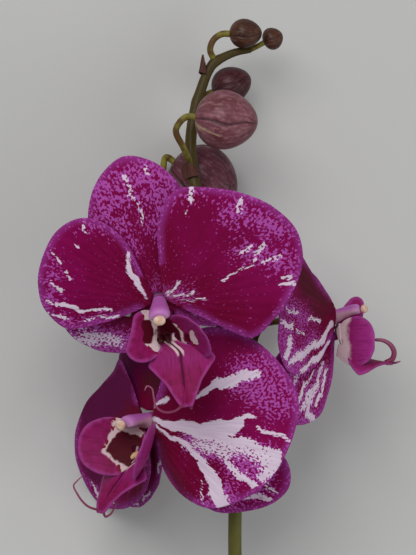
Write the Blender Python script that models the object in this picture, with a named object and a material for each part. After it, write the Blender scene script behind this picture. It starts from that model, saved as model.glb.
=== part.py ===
"""A cut spike of a moth orchid (Phalaenopsis) with three open blooms and five buds, laid down on a table.

The spray is drawn in its own frame, in millimetres: +X to the right and +Y up the stem as the blooms
are looked at, +Z towards whoever looks at them. An empty then turns the whole spray a little and
lowers it, so that it lies on z = 0 as it would come to rest.
"""

import bpy
import numpy as np
from math import cos, pi, radians, sin
from mathutils import Matrix, Vector

for old in list(bpy.data.objects):
    bpy.data.objects.remove(old, do_unlink=True)

MM = 0.001

# Driving dimensions, in millimetres and degrees
BLADE = 0.7
GAP = 0.3
BRACT_CLEARANCE = 0.25
STEM_RADIUS_AT_CUT = 2.8
STEM_RADIUS_AT_TIP = 1.3
SLOW_TAPER = 0.4
NODE_SWELLING = 0.3
STALK_RADIUS = 1.2
KNOB_RADIUS = 2.1
CLAW_RING = 2.55
SEPAL_LEVEL = -0.9
PETAL_LEVEL = 0.9
LIP_RING = 3.9
LIP_LEVEL = 1.7
COLUMN_LENGTH = 11.0

# How the spray lies: it rolls to the left bloom's side and its stem end comes down
LAY_PITCH = 0.56
LAY_ROLL = -16.81
LAY_PLACE = (14.05, 41.58, -4.97)


def finish(name, colour, roughness):
    """A plain material in one sRGB colour."""
    material = bpy.data.materials.new(name)
    material.use_nodes = True
    bsdf = material.node_tree.nodes["Principled BSDF"]
    linear = [(int(colour[i : i + 2], 16) / 255) ** 2.2 for i in (0, 2, 4)]
    bsdf.inputs["Base Color"].default_value = (*linear, 1.0)
    bsdf.inputs["Roughness"].default_value = roughness
    return material


def frame(name, basis, parent=None):
    """An empty that carries the pieces placed in its own axes."""
    empty = bpy.data.objects.new(name, None)
    bpy.context.collection.objects.link(empty)
    empty.parent = parent
    empty.matrix_basis = basis
    return empty


def piece(name, points, faces, material, parent, basis=None):
    """One closed mesh; its points are in millimetres in the parent's axes."""
    mesh = bpy.data.meshes.new(name)
    mesh.from_pydata([Vector(p) * MM for p in points], [], faces)
    mesh.shade_smooth()
    obj = bpy.data.objects.new(name, mesh)
    obj.data.materials.append(finish(name, *material))
    bpy.context.collection.objects.link(obj)
    obj.parent = parent
    obj.matrix_basis = basis or Matrix.Identity(4)
    return obj


def shifted(x, y, z):
    return Matrix.Translation(Vector((x, y, z)) * MM)


def through(points, count):
    """A smooth curve through the given points, read at even steps along it."""
    points = np.array(points, float)
    steps = np.linalg.norm(np.diff(points, axis=0), axis=1)
    knots = np.concatenate([[0.0], np.cumsum(steps)])
    slopes = np.gradient(points, knots, axis=0)
    at = np.linspace(0.0, knots[-1], count)
    i = np.clip(np.searchsorted(knots, at, side="right") - 1, 0, len(knots) - 2)
    span = (knots[i + 1] - knots[i])[:, None]
    u = (at - knots[i])[:, None] / span
    return (
        (2 * u**3 - 3 * u**2 + 1) * points[i]
        + (u**3 - 2 * u**2 + u) * span * slopes[i]
        + (3 * u**2 - 2 * u**3) * points[i + 1]
        + (u**3 - u**2) * span * slopes[i + 1]
    )


def unit(v):
    v = np.array(v, float)
    return v / np.linalg.norm(v)


def skin(middle, thickness):
    """A blade round a grid of points on its middle surface, split into triangles alike on both faces."""
    rows, columns = middle.shape[:2]
    along = np.gradient(middle, axis=0)
    across = np.gradient(middle, axis=1)
    normal = np.cross(across, along)
    normal /= np.linalg.norm(normal, axis=2, keepdims=True)
    front = (middle + normal * thickness / 2).reshape(-1, 3)
    back = (middle - normal * thickness / 2).reshape(-1, 3)
    total = rows * columns
    faces = []
    for r in range(rows - 1):
        for c in range(columns - 1):
            a = r * columns + c
            b, d, e = a + 1, a + columns, a + columns + 1
            faces += [(a, b, e), (a, e, d)]
            faces += [(total + a, total + e, total + b), (total + a, total + d, total + e)]
    edge = [c for c in range(columns)]
    edge += [r * columns + columns - 1 for r in range(1, rows)]
    edge += [(rows - 1) * columns + c for c in range(columns - 2, -1, -1)]
    edge += [r * columns for r in range(rows - 2, 0, -1)]
    for a, b in zip(edge, edge[1:] + edge[:1]):
        faces += [(b, a, total + a), (b, total + a, total + b)]
    return np.concatenate([front, back]), faces


def tube(path, radii, sides):
    """A round bar along a path, its ends closed by flat caps."""
    path = np.array(path, float)
    heading = np.gradient(path, axis=0)
    heading /= np.linalg.norm(heading, axis=1, keepdims=True)
    side = unit(np.cross(heading[0], (0.3, 0.2, 0.93)))
    points = []
    for centre, ahead, radius in zip(path, heading, radii):
        side = unit(side - ahead * np.dot(side, ahead))
        other = np.cross(ahead, side)
        for k in range(sides):
            a = 2 * pi * k / sides
            points.append(centre + radius * (side * cos(a) + other * sin(a)))
    return points, ring_faces(len(path), sides)


def ring_faces(rings, sides):
    """Faces of a bar made of rings of points, with its two end caps."""
    faces = []
    for r in range(rings - 1):
        for k in range(sides):
            a = r * sides + k
            b = r * sides + (k + 1) % sides
            faces.append((a, b, b + sides, a + sides))
    faces.append(tuple(range(sides - 1, -1, -1)))
    faces.append(tuple((rings - 1) * sides + k for k in range(sides)))
    return faces


laid_down = frame(
    "laid_down",
    shifted(*LAY_PLACE)
    @ Matrix.Rotation(radians(LAY_ROLL), 4, "Y")
    @ Matrix.Rotation(radians(LAY_PITCH), 4, "X"),
)

# The stem: an arched green axis that thickens at each node and zigzags between the last buds

STEM_PATH = [
    (12, -179, 6),
    (11.5, -157, 16),
    (10.5, -125, 29),
    (10, -94, 38),
    (10.5, -64, 45),
    (9, -38, 48),
    (6.5, -16, 47),
    (2, 6.5, 43),
    (-3, 27, 38),
    (-5.5, 38, 35),
    (-6.5, 48, 32.5),
    (-6, 56.5, 30.5),
    (-2.5, 71, 28),
    (0, 77.5, 27),
    (2.3, 81, 26.5),
    (5.7, 83, 26),
    (10.5, 85, 25.5),
    (16, 86, 25),
]
STEM_RINGS = 46
STEM_SIDES = 8
# Where along the stem the nodes sit, as heights along +Y, from the cut end up
NODES = {
    "sheath_1": (-158.0, (-0.6, 0, 0.8)),
    "sheath_2": (-122.0, (0.7, 0, 0.7)),
    "left": (-67.0, (-0.9, 0, 0.3)),
    "right": (-42.0, (1.0, 0, 0.0)),
    "front": (-12.0, (-0.3, 0, 1.0)),
    "bud_1": (27.0, (-0.6, 0, -0.8)),
    "bud_2": (42.5, (-0.4, 0, 0.9)),
    "bud_3": (66.0, (0.4, 0, -0.9)),
    "bud_4": (81.0, (-0.8, 0.6, 0.2)),
}

stem_line = through(STEM_PATH, STEM_RINGS * 4)
stem_heading = np.gradient(stem_line, axis=0)
stem_heading /= np.linalg.norm(stem_heading, axis=1, keepdims=True)
stem_share = np.linspace(0, 1, len(stem_line))
stem_step = np.linalg.norm(np.diff(stem_line, axis=0), axis=1).mean()


def nearest_on_stem(height):
    return int(np.argmin(np.abs(stem_line[:, 1] - height)))


def stem_radius(i):
    """Half the stem's thickness: a slow taper, quicker near the tip, with a swelling at each node."""
    tapered = SLOW_TAPER * stem_share[i] + (1 - SLOW_TAPER) * stem_share[i] ** 14
    radius = STEM_RADIUS_AT_CUT + (STEM_RADIUS_AT_TIP - STEM_RADIUS_AT_CUT) * tapered
    for height, _ in NODES.values():
        away = np.linalg.norm(stem_line[i] - stem_line[nearest_on_stem(height)])
        radius += NODE_SWELLING * np.exp(-((away / 2.2) ** 2))
    return radius


def node_axes(name, above=0.0):
    """A point on the stem's line at or above a node, the way up the stem, the way out, and the radius."""
    height, way = NODES[name]
    i = nearest_on_stem(height) + round(above / stem_step)
    up = stem_heading[i]
    out = unit(np.array(way) - up * np.dot(way, up))
    return stem_line[i], up, out, stem_radius(i)


STEM_GREEN = ("4f5a2a", 0.5)
stem_index = np.linspace(0, len(stem_line) - 1, STEM_RINGS).astype(int)
piece(
    "stem",
    *tube(stem_line[stem_index], [stem_radius(i) for i in stem_index], STEM_SIDES),
    STEM_GREEN,
    laid_down,
)

# Bracts: small pointed scales wrapped round the stem below each node, longer dry sheaths lower down


def bract(name, height, half_turn, lean, drop, colour):
    """A pointed scale round the stem: it starts drop below the node and leans out by lean at its tip."""
    rows, columns = 4, 9
    middle = np.zeros((rows, columns, 3))
    for r in range(rows):
        h = r / (rows - 1)
        root, up, out, radius = node_axes(name, height * h - drop)
        across = np.cross(up, out)
        reach = radius + GAP + BLADE / 2 + BRACT_CLEARANCE + lean * h**1.5
        opening = radians(half_turn) * (1 - h**1.6) + 0.12
        for c in range(columns):
            a = opening * (2 * c / (columns - 1) - 1)
            middle[r, c] = root + across * sin(a) * reach + out * cos(a) * reach
    points, faces = skin(middle, BLADE)
    label = name if name.startswith("sheath") else f"bract_{name}"
    piece(label, points, faces, colour, laid_down)


DRY_BROWN = ("7a6448", 0.8)
BRACT_BROWN = ("6b5238", 0.6)
bract("sheath_1", 15.0, 150, 0.5, 1.0, DRY_BROWN)
bract("sheath_2", 13.0, 150, 0.5, 1.0, DRY_BROWN)
for node in ("left", "right", "front", "bud_1", "bud_2", "bud_3", "bud_4"):
    bract(node, 5.2, 65, 2.2, 6.6, BRACT_BROWN)

# Stalks: each bloom and each bud hangs on its own stalk, which leaves the stem just above a bract

STALK_GREEN = ("6d6a33", 0.5)


def stalk(name, via, end, knob):
    """A stalk from its node on the stem to the foot of its flower, thickened there by the knob."""
    root, up, out, radius = node_axes(name)
    ahead = unit(np.array(via[0]) - root)
    tilt = np.linalg.norm(np.cross(ahead, out))
    start = root + out * (radius + GAP + STALK_RADIUS * tilt)
    path = through([start, *via, *end], 16)
    share = np.linspace(0, 1, len(path))
    radii = STALK_RADIUS + (knob - STALK_RADIUS) * share**6
    piece(f"stalk_{name}", *tube(path, radii, 6), STALK_GREEN, laid_down)


# Blooms: each has its own axes, +Z the way it faces and +Y towards its top sepal


def bloom_frame(name, hub, facing, lean):
    ahead = Vector(facing).normalized()
    up = (Vector((0, 1, 0)) - ahead * ahead.y).normalized()
    turned = Matrix.Rotation(radians(-lean), 3, ahead) @ up
    right = turned.cross(ahead)
    axes = Matrix((right, turned, ahead)).transposed().to_4x4()
    return frame(name, shifted(*hub) @ axes, laid_down)


def leaf_basis(azimuth, sweep, roll, ring, level):
    """A flower leaf's axes in its bloom: +Y to its tip, +Z its face, set out at azimuth and swept back."""
    return (
        Matrix.Rotation(radians(-azimuth), 4, "Z")
        @ shifted(0, ring, level)
        @ Matrix.Rotation(radians(-sweep), 4, "X")
        @ Matrix.Rotation(radians(roll), 4, "Y")
    )


def leaf(outline, claw, rows, columns, arch, cup, wave, rim):
    """A sepal or petal: a fan from its claw to its outline, arched, cupped and waved by formula.

    arch is how far the tip lies in front of the base's plane, cup how far the sides do, wave the
    height and number of ripples round the margin, and rim how far the very edge turns back.
    """
    edge = through(outline, columns)
    length = edge[:, 1].max()
    half = np.abs(edge[:, 0]).max()
    share = np.linspace(0, 1, rows)[:, None]
    turn = np.linspace(0, 1, columns)[None, :]
    foot = np.linspace(-claw, claw, columns)
    x = foot + share * (edge[:, 0] - foot)
    y = share * edge[:, 1]
    ripple = wave[0] * share**3 * np.sin(2 * pi * wave[1] * turn + wave[2]) * np.sin(pi * turn) ** 0.3
    z = arch * (y / length) ** 2 + cup * (x / half) ** 2 * share + ripple - rim * share**6
    middle = np.stack([x, y, z], axis=2)
    return skin(middle[:, ::-1], BLADE)


LEAF_ROWS = 5
LEAF_COLUMNS = 15
PETAL_CLAW = 1.4
SEPAL_CLAW = 1.5
PETAL_COLOUR = ("8a0a5a", 0.45)
SEPAL_COLOUR = ("8c1263", 0.45)
LIP_COLOUR = ("a01a62", 0.4)
COLUMN_COLOUR = ("b678b4", 0.4)
CAP_COLOUR = ("e8dcb8", 0.4)


def flower_leaf(bloom, name, kind, azimuth, sweep, roll, outline, arch=0, cup=0, wave=(0, 2, 0), rim=0):
    claw, level, colour = {
        "sepal": (SEPAL_CLAW, SEPAL_LEVEL, SEPAL_COLOUR),
        "petal": (PETAL_CLAW, PETAL_LEVEL, PETAL_COLOUR),
    }[kind]
    points, faces = leaf(outline, claw, LEAF_ROWS, LEAF_COLUMNS, arch, cup, wave, rim)
    basis = leaf_basis(azimuth, sweep, roll, CLAW_RING, level)
    piece(f"{bloom.name}_{name}", points, faces, colour, bloom, basis)


def column(bloom, bend, size):
    """The waxy column: a half-round bar, widest near its tip, with a foot that carries the lip."""
    # Along the column: half width, height of the back, depth of the belly
    sections = [
        (0.0, 2.1, 1.9, 3.3),
        (1.8, 2.2, 1.9, 3.1),
        (4.0, 2.6, 2.2, 2.3),
        (6.5, 3.3, 2.7, 1.9),
        (8.8, 3.8, 3.0, 1.7),
        (10.2, 3.6, 2.8, 1.4),
        (COLUMN_LENGTH, 2.7, 2.1, 1.0),
    ]
    sides = 12
    points = []
    for at, wide, back, belly in sections:
        for k in range(sides):
            a = 2 * pi * k / sides
            height = back * sin(a) if sin(a) > 0 else belly * sin(a)
            points.append((wide * cos(a) * size, height * size, at * size))
    basis = shifted(0, 0, 0.4) @ Matrix.Rotation(radians(bend), 4, "X")
    faces = ring_faces(len(sections), sides)
    piece(f"{bloom.name}_column", points, faces, COLUMN_COLOUR, bloom, basis)
    cap_rings = 5
    points = []
    for r in range(cap_rings):
        a = pi * (r + 0.5) / cap_rings
        for k in range(sides):
            b = 2 * pi * k / sides
            across = size * sin(a)
            points.append((2.2 * across * cos(b), 1.9 * across * sin(b), -1.6 * size * cos(a)))
    seat = basis @ shifted(0, 0.2, (COLUMN_LENGTH + 1.6) * size + GAP)
    faces = ring_faces(cap_rings, sides)
    piece(f"{bloom.name}_anther_cap", points, faces, CAP_COLOUR, bloom, seat)


LIP_SHOULDERS = 21.0
# The lip's half width at distances along its middle line: claw, waist, corners and tip
LIP_WIDTHS = [
    (0, 2.0), (4, 3.4), (8, 3.8), (10.5, 3.2), (12, 4.2), (14.5, 8.5), (17.5, 12.0), (21, 10.2),
    (26, 6.6), (31, 4.2), (35, 2.0),
]
# The outline of a side lobe, which starts and ends below its root
SIDE_LOBE = [
    (-5, -2.5), (-8.5, 3), (-9.5, 9.5), (-6.5, 15), (0, 17), (6.5, 15), (9.5, 9.5), (8.5, 3),
    (5, -2.5),
]


# A short tendril that curls back under the tip: its radius at the root and its way
SHORT_CURL = (0.5, [(-1, -1, 0), (-1.3, 0.6, -1.6), (-1.6, -1, -3.2), (-1.5, -4, -4), (-1.3, -7, -3.8)])


def lip_rows(rows, claw, bend, sway, droop, reach):
    """The middle line of the lip: straight along the claw, then turned forward by bend at the waist."""
    profile = through(LIP_WIDTHS, rows)
    line = []
    spot = np.zeros(2)
    last = 0.0
    for along, half in profile:
        along = min(along, LIP_SHOULDERS) + max(0.0, along - LIP_SHOULDERS) * reach
        turn = min(1.0, max(0.0, (along - claw) / 8))
        turned = 3 * turn**2 - 2 * turn**3
        heading = radians(bend) * turned - radians(droop) * max(0.0, (along - 22) / 14) ** 2
        spot = spot + (along - last) * np.array([cos(heading), sin(heading)])
        last = along
        line.append((half, -sway * turned, spot.copy(), heading))
    return line


def side_lobe(sign, spread, turn, rise, wide, tall, root, bow):
    """One of the two ears that stand up from the lip's claw, in the lip's axes.

    spread is how far it leans outward, turn how far it turns round its own middle line, rise how far its
    tip reaches down the lip, wide and tall its size, root its foot and bow how far it curls inward.
    """
    edge = through(SIDE_LOBE, 13)
    share = np.linspace(0.12, 1, 5)[:, None]
    x = share * edge[:, 0] * wide
    y = share * edge[:, 1] * tall
    z = bow * (y / 22) ** 2 + (x / 9) ** 2
    points, faces = skin(np.stack([x, y, z], axis=2)[:, ::-1], BLADE)
    tip = Vector((sign * sin(radians(spread)), rise, cos(radians(spread)))).normalized()
    inward = Vector((-sign * cos(radians(spread)), 0.1, sin(radians(spread))))
    inward = (inward - tip * inward.dot(tip)).normalized()
    axes = Matrix((tip.cross(inward), tip, inward)).transposed()
    axes = Matrix.Rotation(radians(turn * sign), 3, tip) @ axes
    foot = Vector((sign * root[0], root[1], root[2]))
    return [foot + axes @ Vector(p) for p in points], faces


def tendril(root, points):
    path = through(points, 12)
    return tube(path, np.linspace(root, 0.35, len(path)), 4)


def lip(bloom, size, tilt, level, claw, bend, droop, sway, keel, reach, ears, curls):
    """The lip in one piece: claw and middle lobe, two side lobes, a two-knobbed callus and tendrils.

    size is the column's, tilt is how far the claw points forward of straight down and level how far
    forward it starts. The middle lobe turns forward by bend, droops by droop towards its tip, stands
    sway to the right, hangs its sides by keel and beyond its shoulders is reach of its full length. ears
    are the side lobes' sizes, first the one on the middle lobe's left as it is looked at, and curls the
    tendrils' radii at the root and ways from the tip.
    """
    rows, columns = 14, 7
    line = lip_rows(rows, claw, bend, sway, droop, reach)
    middle = np.zeros((rows, columns, 3))
    for r, (half, aside, spot, heading) in enumerate(line):
        for c in range(columns):
            u = 2 * c / (columns - 1) - 1
            fall = keel * max(0.0, half - 3.8) ** 1.2 * u**2
            middle[r, c] = (u * half + aside, spot[0] + fall * sin(heading), spot[1] - fall * cos(heading))
    _, aside, spot, heading = line[-1]
    tip = np.array([aside, *spot])
    ahead = np.array([0, cos(heading), sin(heading)])
    above = np.array([0, -sin(heading), cos(heading)])
    shapes = [side_lobe(1, *ears[0]), side_lobe(-1, *ears[1])]
    for sign in (-1, 1):
        boss = [(1.1, 9.0, -1.2), (1.2, 9.4, 1.0), (1.4, 10.4, 2.6), (1.3, 11.4, 3.4)]
        mirrored = [(sign * x, y, z) for x, y, z in boss]
        shapes.append(tube(through(mirrored, 4), [1.3, 1.5, 1.2, 0.6], 6))
    for root, curl in curls:
        way = [tip + (x, 0, 0) + ahead * y + above * z for x, y, z in curl]
        shapes.append(tendril(root, way))
    points, faces = skin(middle[:, ::-1], BLADE + 0.1)
    body = piece(f"{bloom.name}_lip", points, faces, LIP_COLOUR, None)
    extras = bpy.data.collections.new(f"{bloom.name}_lip_parts")
    bpy.context.scene.collection.children.link(extras)
    for i, (points, faces) in enumerate(shapes):
        part = piece(f"lip_part_{i}", points, faces, LIP_COLOUR, None)
        bpy.context.collection.objects.unlink(part)
        extras.objects.link(part)
    union = body.modifiers.new("union", "BOOLEAN")
    union.operation = "UNION"
    union.operand_type = "COLLECTION"
    union.collection = extras
    union.solver = "EXACT"
    graph = bpy.context.evaluated_depsgraph_get()
    joined = bpy.data.meshes.new_from_object(body.evaluated_get(graph))
    body.modifiers.clear()
    body.data = joined
    for part in list(extras.objects):
        bpy.data.objects.remove(part, do_unlink=True)
    bpy.data.collections.remove(extras)
    body.parent = bloom
    body.matrix_basis = leaf_basis(180, -tilt, 0, LIP_RING * size, level)


# The front bloom looks at the viewer and hangs its face a little

front = bloom_frame("front", (-17.0, -7.9, 98.0), (0, -0.423, 0.906), -9)
flower_leaf(
    front, "sepal_top", "sepal", -4, 15, 0,
    [
        (-8, 4), (-16, 13), (-19, 24), (-17, 35), (-10, 45), (-1, 49.5), (8, 46), (15.5, 36),
        (18, 25), (15.5, 13), (8, 4),
    ],
    arch=-1.0, cup=-1.5, wave=(0.5, 2, 0.5),
)
flower_leaf(
    front, "sepal_left", "sepal", -114, 20, 0,
    [
        (-7, 5), (-13, 13), (-15, 23), (-12.5, 31), (-6, 37.5), (3, 39.5), (10, 35), (13, 27),
        (12, 16), (6, 5),
    ],
    arch=-2.0, cup=-1.0, wave=(0.5, 2, 0),
)
flower_leaf(
    front, "sepal_right", "sepal", 106, 20, 0,
    [
        (-6, 5), (-12, 16), (-13, 27), (-10, 35), (-3, 39.5), (5, 37), (10, 31), (12, 23),
        (11, 13), (6, 5),
    ],
    arch=-2.0, cup=-1.0, wave=(0.5, 2, 0),
)
flower_leaf(
    front, "petal_left", "petal", -70, 10, 0,
    [
        (-5, 4), (-13, 15), (-19.5, 30), (-14, 37.5), (-5, 41), (6, 41), (16, 38), (22.5, 31.5),
        (24, 25), (20.5, 15), (10, 6),
    ],
    arch=-1.0, cup=-1.0, wave=(0.6, 2.5, 0),
)
flower_leaf(
    front, "petal_right", "petal", 64, 8, 0,
    [
        (-13, 6.5), (-24.5, 15), (-29.5, 24), (-21, 38), (-4, 49.5), (9, 51), (19, 46.5), (26.5, 37),
        (31, 25.5), (32, 15.5), (22.5, 10), (9, 3.5),
    ],
    arch=-1.0, cup=-1.5, wave=(0.6, 3, 0.4),
)
column(front, 8, 1.0)
lip(
    front, 1.0, 33, LIP_LEVEL, 8, 14, 22, 5.0, 0.12, 1.0,
    [(56, 0, 0.2, 0.95, 0.93, (2.0, 6.6, -0.3), 3.0), (62, -34, 0.08, 1.0, 1.0, (3.1, 8.4, -0.3), 9.0)],
    [
        (
            0.5,
            [
                (1, -1, 0), (4.5, 0.8, 1), (8, 0.6, 2), (10.3, -1.5, 3), (10.6, -5, 4),
                (10.9, -8.2, 5), (12.2, -9, 5.6), (13.2, -7.6, 6),
            ],
        ),
        SHORT_CURL,
    ],
)

# The left bloom hangs below it and turns its face to the left

left = bloom_frame("left", (-21.0, -50.8, 66.0), (-0.72, -0.27, 0.64), 0)
flower_leaf(
    left, "sepal_top", "sepal", 0, 21, 11,
    [
        (-10, 3), (-17, 9), (-20, 18), (-18.5, 28), (-15, 37), (-9, 44), (0, 47), (8, 43), (12, 34),
        (12.5, 23), (10, 12), (5, 4),
    ],
    arch=-3.0, cup=-4.0, wave=(0.4, 2, 0.5),
)
flower_leaf(
    left, "sepal_left", "sepal", -140, 9, 0,
    [
        (-6, 6), (-9.8, 14), (-10.5, 23), (-8.9, 32), (-6, 41), (-2, 49), (4, 54), (11, 52), (17, 44),
        (19, 33), (17, 20), (12, 11), (6, 4),
    ],
    arch=-2.0, cup=-1.0, wave=(0.4, 2, 0),
)
flower_leaf(
    left, "sepal_right", "sepal", 138, 40, -20,
    [
        (-4.8, 6), (-7, 17), (-9, 29), (-9, 42), (-4, 51), (4, 55), (12, 53), (20, 45), (25, 36),
        (23, 23), (14, 10), (6.5, 3.8),
    ],
    arch=0.0, cup=-1.0, wave=(0.4, 2, 0),
)
flower_leaf(
    left, "petal_left", "petal", -100, 4, 0,
    [
        (-9, 2), (-18, 6), (-26, 14), (-31, 26), (-32, 38), (-30, 47), (-24, 52.5), (-16.4, 53.5),
        (-8, 52.4), (-2.8, 49.1), (4.4, 41.9), (11.2, 31.5), (15.3, 21), (19.8, 10), (23.5, 3.5),
        (17, 1.2), (8, 0.5),
    ],
    arch=0.0, cup=-1.0, wave=(0.4, 2, 0),
)
flower_leaf(
    left, "petal_right", "petal", 98, 33, -12,
    [
        (-9, 2), (-19, 6), (-28, 12), (-33, 21), (-31.5, 32), (-26, 42), (-18, 49.5), (-7, 54.5),
        (5, 52.5), (15, 47.8), (24, 41), (30.5, 30), (32.8, 18), (28, 9), (20, 3.5), (9, 1),
    ],
    arch=0.0, cup=-1.5, wave=(0.5, 3, 0.4),
)
column(left, -6, 1.05)
lip(
    left, 1.05, 33, 2.3, 8, 27, 22, -4.0, 0.12, 1.0,
    [(46, 0, 0.12, 1.12, 1.36, (1.8, 7.0, -0.3), 1.0), (58, 12, 0.12, 1.12, 1.25, (2.6, 8.2, -0.3), 10.0)],
    [
        (0.5, [(1, -1, 0), (4, -1, 3), (7, -4, 7.5), (8, -6.5, 9.5), (7, -8, 9.5), (5.5, -10.5, 9)]),
        SHORT_CURL,
    ],
)

# The right bloom grows on the far side, smaller, and is seen in profile

right = bloom_frame("right", (46.5, -13.9, 40.0), (0.985, 0.12, 0.10), 0)
flower_leaf(
    right, "sepal_top", "sepal", 0, 22, 0,
    [
        (-6, 4), (-12, 12), (-15, 22), (-13.5, 33), (-8, 41.5), (0, 45), (8, 41.5), (13.5, 33),
        (14, 22), (11, 12), (6, 4),
    ],
    arch=-1.0, cup=-1.0, wave=(0.4, 2, 0.5),
)
flower_leaf(
    right, "sepal_left", "sepal", -143, 27, 25,
    [
        (-5.5, 4), (-11, 11), (-16.5, 22), (-18, 31), (-13, 39), (-4, 45.5), (5, 49), (11, 47),
        (15, 40), (15, 29), (11, 16), (5, 5),
    ],
    arch=-1.0, cup=-1.0, wave=(0.4, 2, 0),
)
flower_leaf(
    right, "sepal_right", "sepal", 143, 29, -25,
    [
        (-5, 5), (-11, 16), (-14, 28), (-12, 38), (-6, 44), (0, 45), (9, 41), (15, 32), (16, 22),
        (11, 11), (5.5, 4),
    ],
    arch=-1.0, cup=-1.0, wave=(0.4, 2, 0),
)
flower_leaf(
    right, "petal_left", "petal", -90, 27, -6,
    [
        (-8, 3), (-15, 11), (-20, 24), (-19, 32), (-14, 38.5), (-7, 41.5), (2, 41.5), (12, 40),
        (21, 35.5), (26, 29), (23.5, 23.5), (18, 17.5), (12.5, 11), (7, 4),
    ],
    arch=0.0, cup=-1.0, wave=(0.5, 2.5, 0),
)
flower_leaf(
    right, "petal_right", "petal", 93, 31, 6,
    [
        (-6.5, 4), (-13.5, 12), (-19, 20), (-21, 28), (-18, 35), (-11, 40.5), (0, 42.5), (8, 41.5),
        (15, 38), (19, 31), (19, 23), (14, 11), (8, 3),
    ],
    arch=0.0, cup=-1.0, wave=(0.5, 2.5, 0),
)
column(right, -3, 0.88)
lip(
    right, 0.88, -1, 2.0, 8.0, 72, -30, 0.0, 0.48, 0.58,
    [(45, 0, 0.0, 0.98, 0.92, (2.6, 6.9, -0.5), 7.0), (30, 10, -1.45, 0.46, 1.05, (3.2, 5.6, -0.3), -1.5)],
    [
        (
            1.1,
            [
                (1, -2.6, 0), (1.2, -0.2, 1.8), (1.4, 0.2, 4), (1.4, -1.6, 7), (1.2, -4.2, 8.2),
                (1, -7.6, 8.2),
            ],
        ),
        (0.5, [(-1, -1, 0), (-0.8, 1, 0.3), (-0.5, 2.8, 1)]),
    ],
)

# Stalks of the blooms: each arches over and ends in a knob behind the flower leaves


def behind(bloom, distance):
    """A point straight behind a bloom, in the spray's axes, in millimetres."""
    spot = bloom.matrix_basis @ Vector((0, 0, -distance * MM))
    return np.array(spot) / MM


def bloom_stalk(bloom, via, first):
    """A bloom's stalk, which comes in straight behind its hub over the last first millimetres."""
    end = [behind(bloom, first), behind(bloom, first * 0.45), behind(bloom, 0)]
    stalk(bloom.name, via, end, KNOB_RADIUS)


bloom_stalk(left, [(5, -59, 49), (-3, -52, 53)], 13)
bloom_stalk(right, [(15, -32, 46), (20, -18, 44.5)], 16)
bloom_stalk(front, [(3, -4, 58), (-4, 1, 68)], 16)

# Buds: egg-shaped, each closed by sepals that meet in shallow seams

BUD_COLOUR = ("6a4a48", 0.45)
BUD_DARK = ("3d2226", 0.45)


def bud(name, base, tip, width, depth, colour):
    """An egg along the line from base to tip, with three shallow seams between its sepals."""
    base, tip = np.array(base, float), np.array(tip, float)
    length = np.linalg.norm(tip - base)
    ahead = (tip - base) / length
    flank = unit(np.cross((0, 0, 1), ahead))
    top = np.cross(ahead, flank)
    rings, sides = 9, 15
    points = []
    for r in range(rings):
        s = (r + 0.5) / rings
        fullness = sin(pi * s**0.85) ** 0.62
        for k in range(sides):
            a = 2 * pi * k / sides
            seam = 1 - 0.05 * max(0, cos(3 * a)) ** 4 * fullness
            across = flank * cos(a) * width / 2 + top * sin(a) * depth / 2
            points.append(base + ahead * length * s + across * fullness * seam)
    piece(name, points, ring_faces(rings, sides), colour, laid_down)
    return base + ahead * length * 0.5 / rings, ahead


def bud_stalk(name, via, seat, ahead):
    stalk(name, via, [seat - ahead * 3.0, seat - ahead * GAP], STALK_RADIUS * 1.1)


seat, ahead = bud("bud_1", (-14.5, 45, 18), (11, 28, 16.5), 28, 22, BUD_COLOUR)
bud_stalk("bud_1", [(-10, 27, 33), (-15.5, 33, 27), (-17, 40, 21.5)], seat, ahead)
seat, ahead = bud("bud_2", (-6.2, 59.3, 45), (19.8, 57, 46), 22, 20, BUD_COLOUR)
bud_stalk("bud_2", [(-9, 48, 41), (-11.8, 55, 44)], seat, ahead)
seat, ahead = bud("bud_3", (1.0, 70, 19), (17, 76.5, 19), 14, 14, BUD_COLOUR)
bud_stalk("bud_3", [(-1.5, 66.5, 23), (-2, 67.5, 21)], seat, ahead)
seat, ahead = bud("bud_4", (7.3, 91.5, 29), (21, 91.8, 30), 12, 12, BUD_DARK)
bud_stalk("bud_4", [(0.8, 85.5, 28), (2.2, 89.5, 28.5)], seat, ahead)
seat, ahead = bud("bud_5", (20.5, 88.5, 25), (28.5, 92, 25), 8.5, 8.5, BUD_DARK)
stalk_end = [np.array((16.6, 86.2, 25)), np.array((18.5, 87.2, 25)), seat - ahead * GAP]
piece("stalk_bud_5", *tube(through(stalk_end, 8), np.full(8, 1.0), 8), STALK_GREEN, laid_down)
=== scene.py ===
from math import cos, pi, radians, sin

import bpy
import numpy as np
from mathutils import Matrix, Vector


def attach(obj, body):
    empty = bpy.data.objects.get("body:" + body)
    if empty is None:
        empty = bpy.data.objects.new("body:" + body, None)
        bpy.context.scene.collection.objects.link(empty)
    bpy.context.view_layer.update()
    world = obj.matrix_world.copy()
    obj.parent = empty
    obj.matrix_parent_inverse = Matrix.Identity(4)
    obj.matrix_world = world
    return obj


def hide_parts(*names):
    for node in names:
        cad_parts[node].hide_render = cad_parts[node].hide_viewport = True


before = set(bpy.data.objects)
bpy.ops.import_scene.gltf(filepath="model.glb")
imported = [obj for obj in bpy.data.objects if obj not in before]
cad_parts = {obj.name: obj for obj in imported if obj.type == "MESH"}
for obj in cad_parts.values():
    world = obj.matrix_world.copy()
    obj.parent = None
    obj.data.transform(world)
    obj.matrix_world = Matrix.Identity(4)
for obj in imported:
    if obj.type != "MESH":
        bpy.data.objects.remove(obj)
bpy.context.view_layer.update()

# The flower stem
# The orchid's own spike: a round, fleshy green shoot cut off at its foot, living tissue with a waxy skin.
# It arches, thickens a little at every node, goes brown towards its young end and zigzags there
# between the last buds. All points are in millimetres in the spray's axes: +Y up the stem, +Z to the eye.

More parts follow.
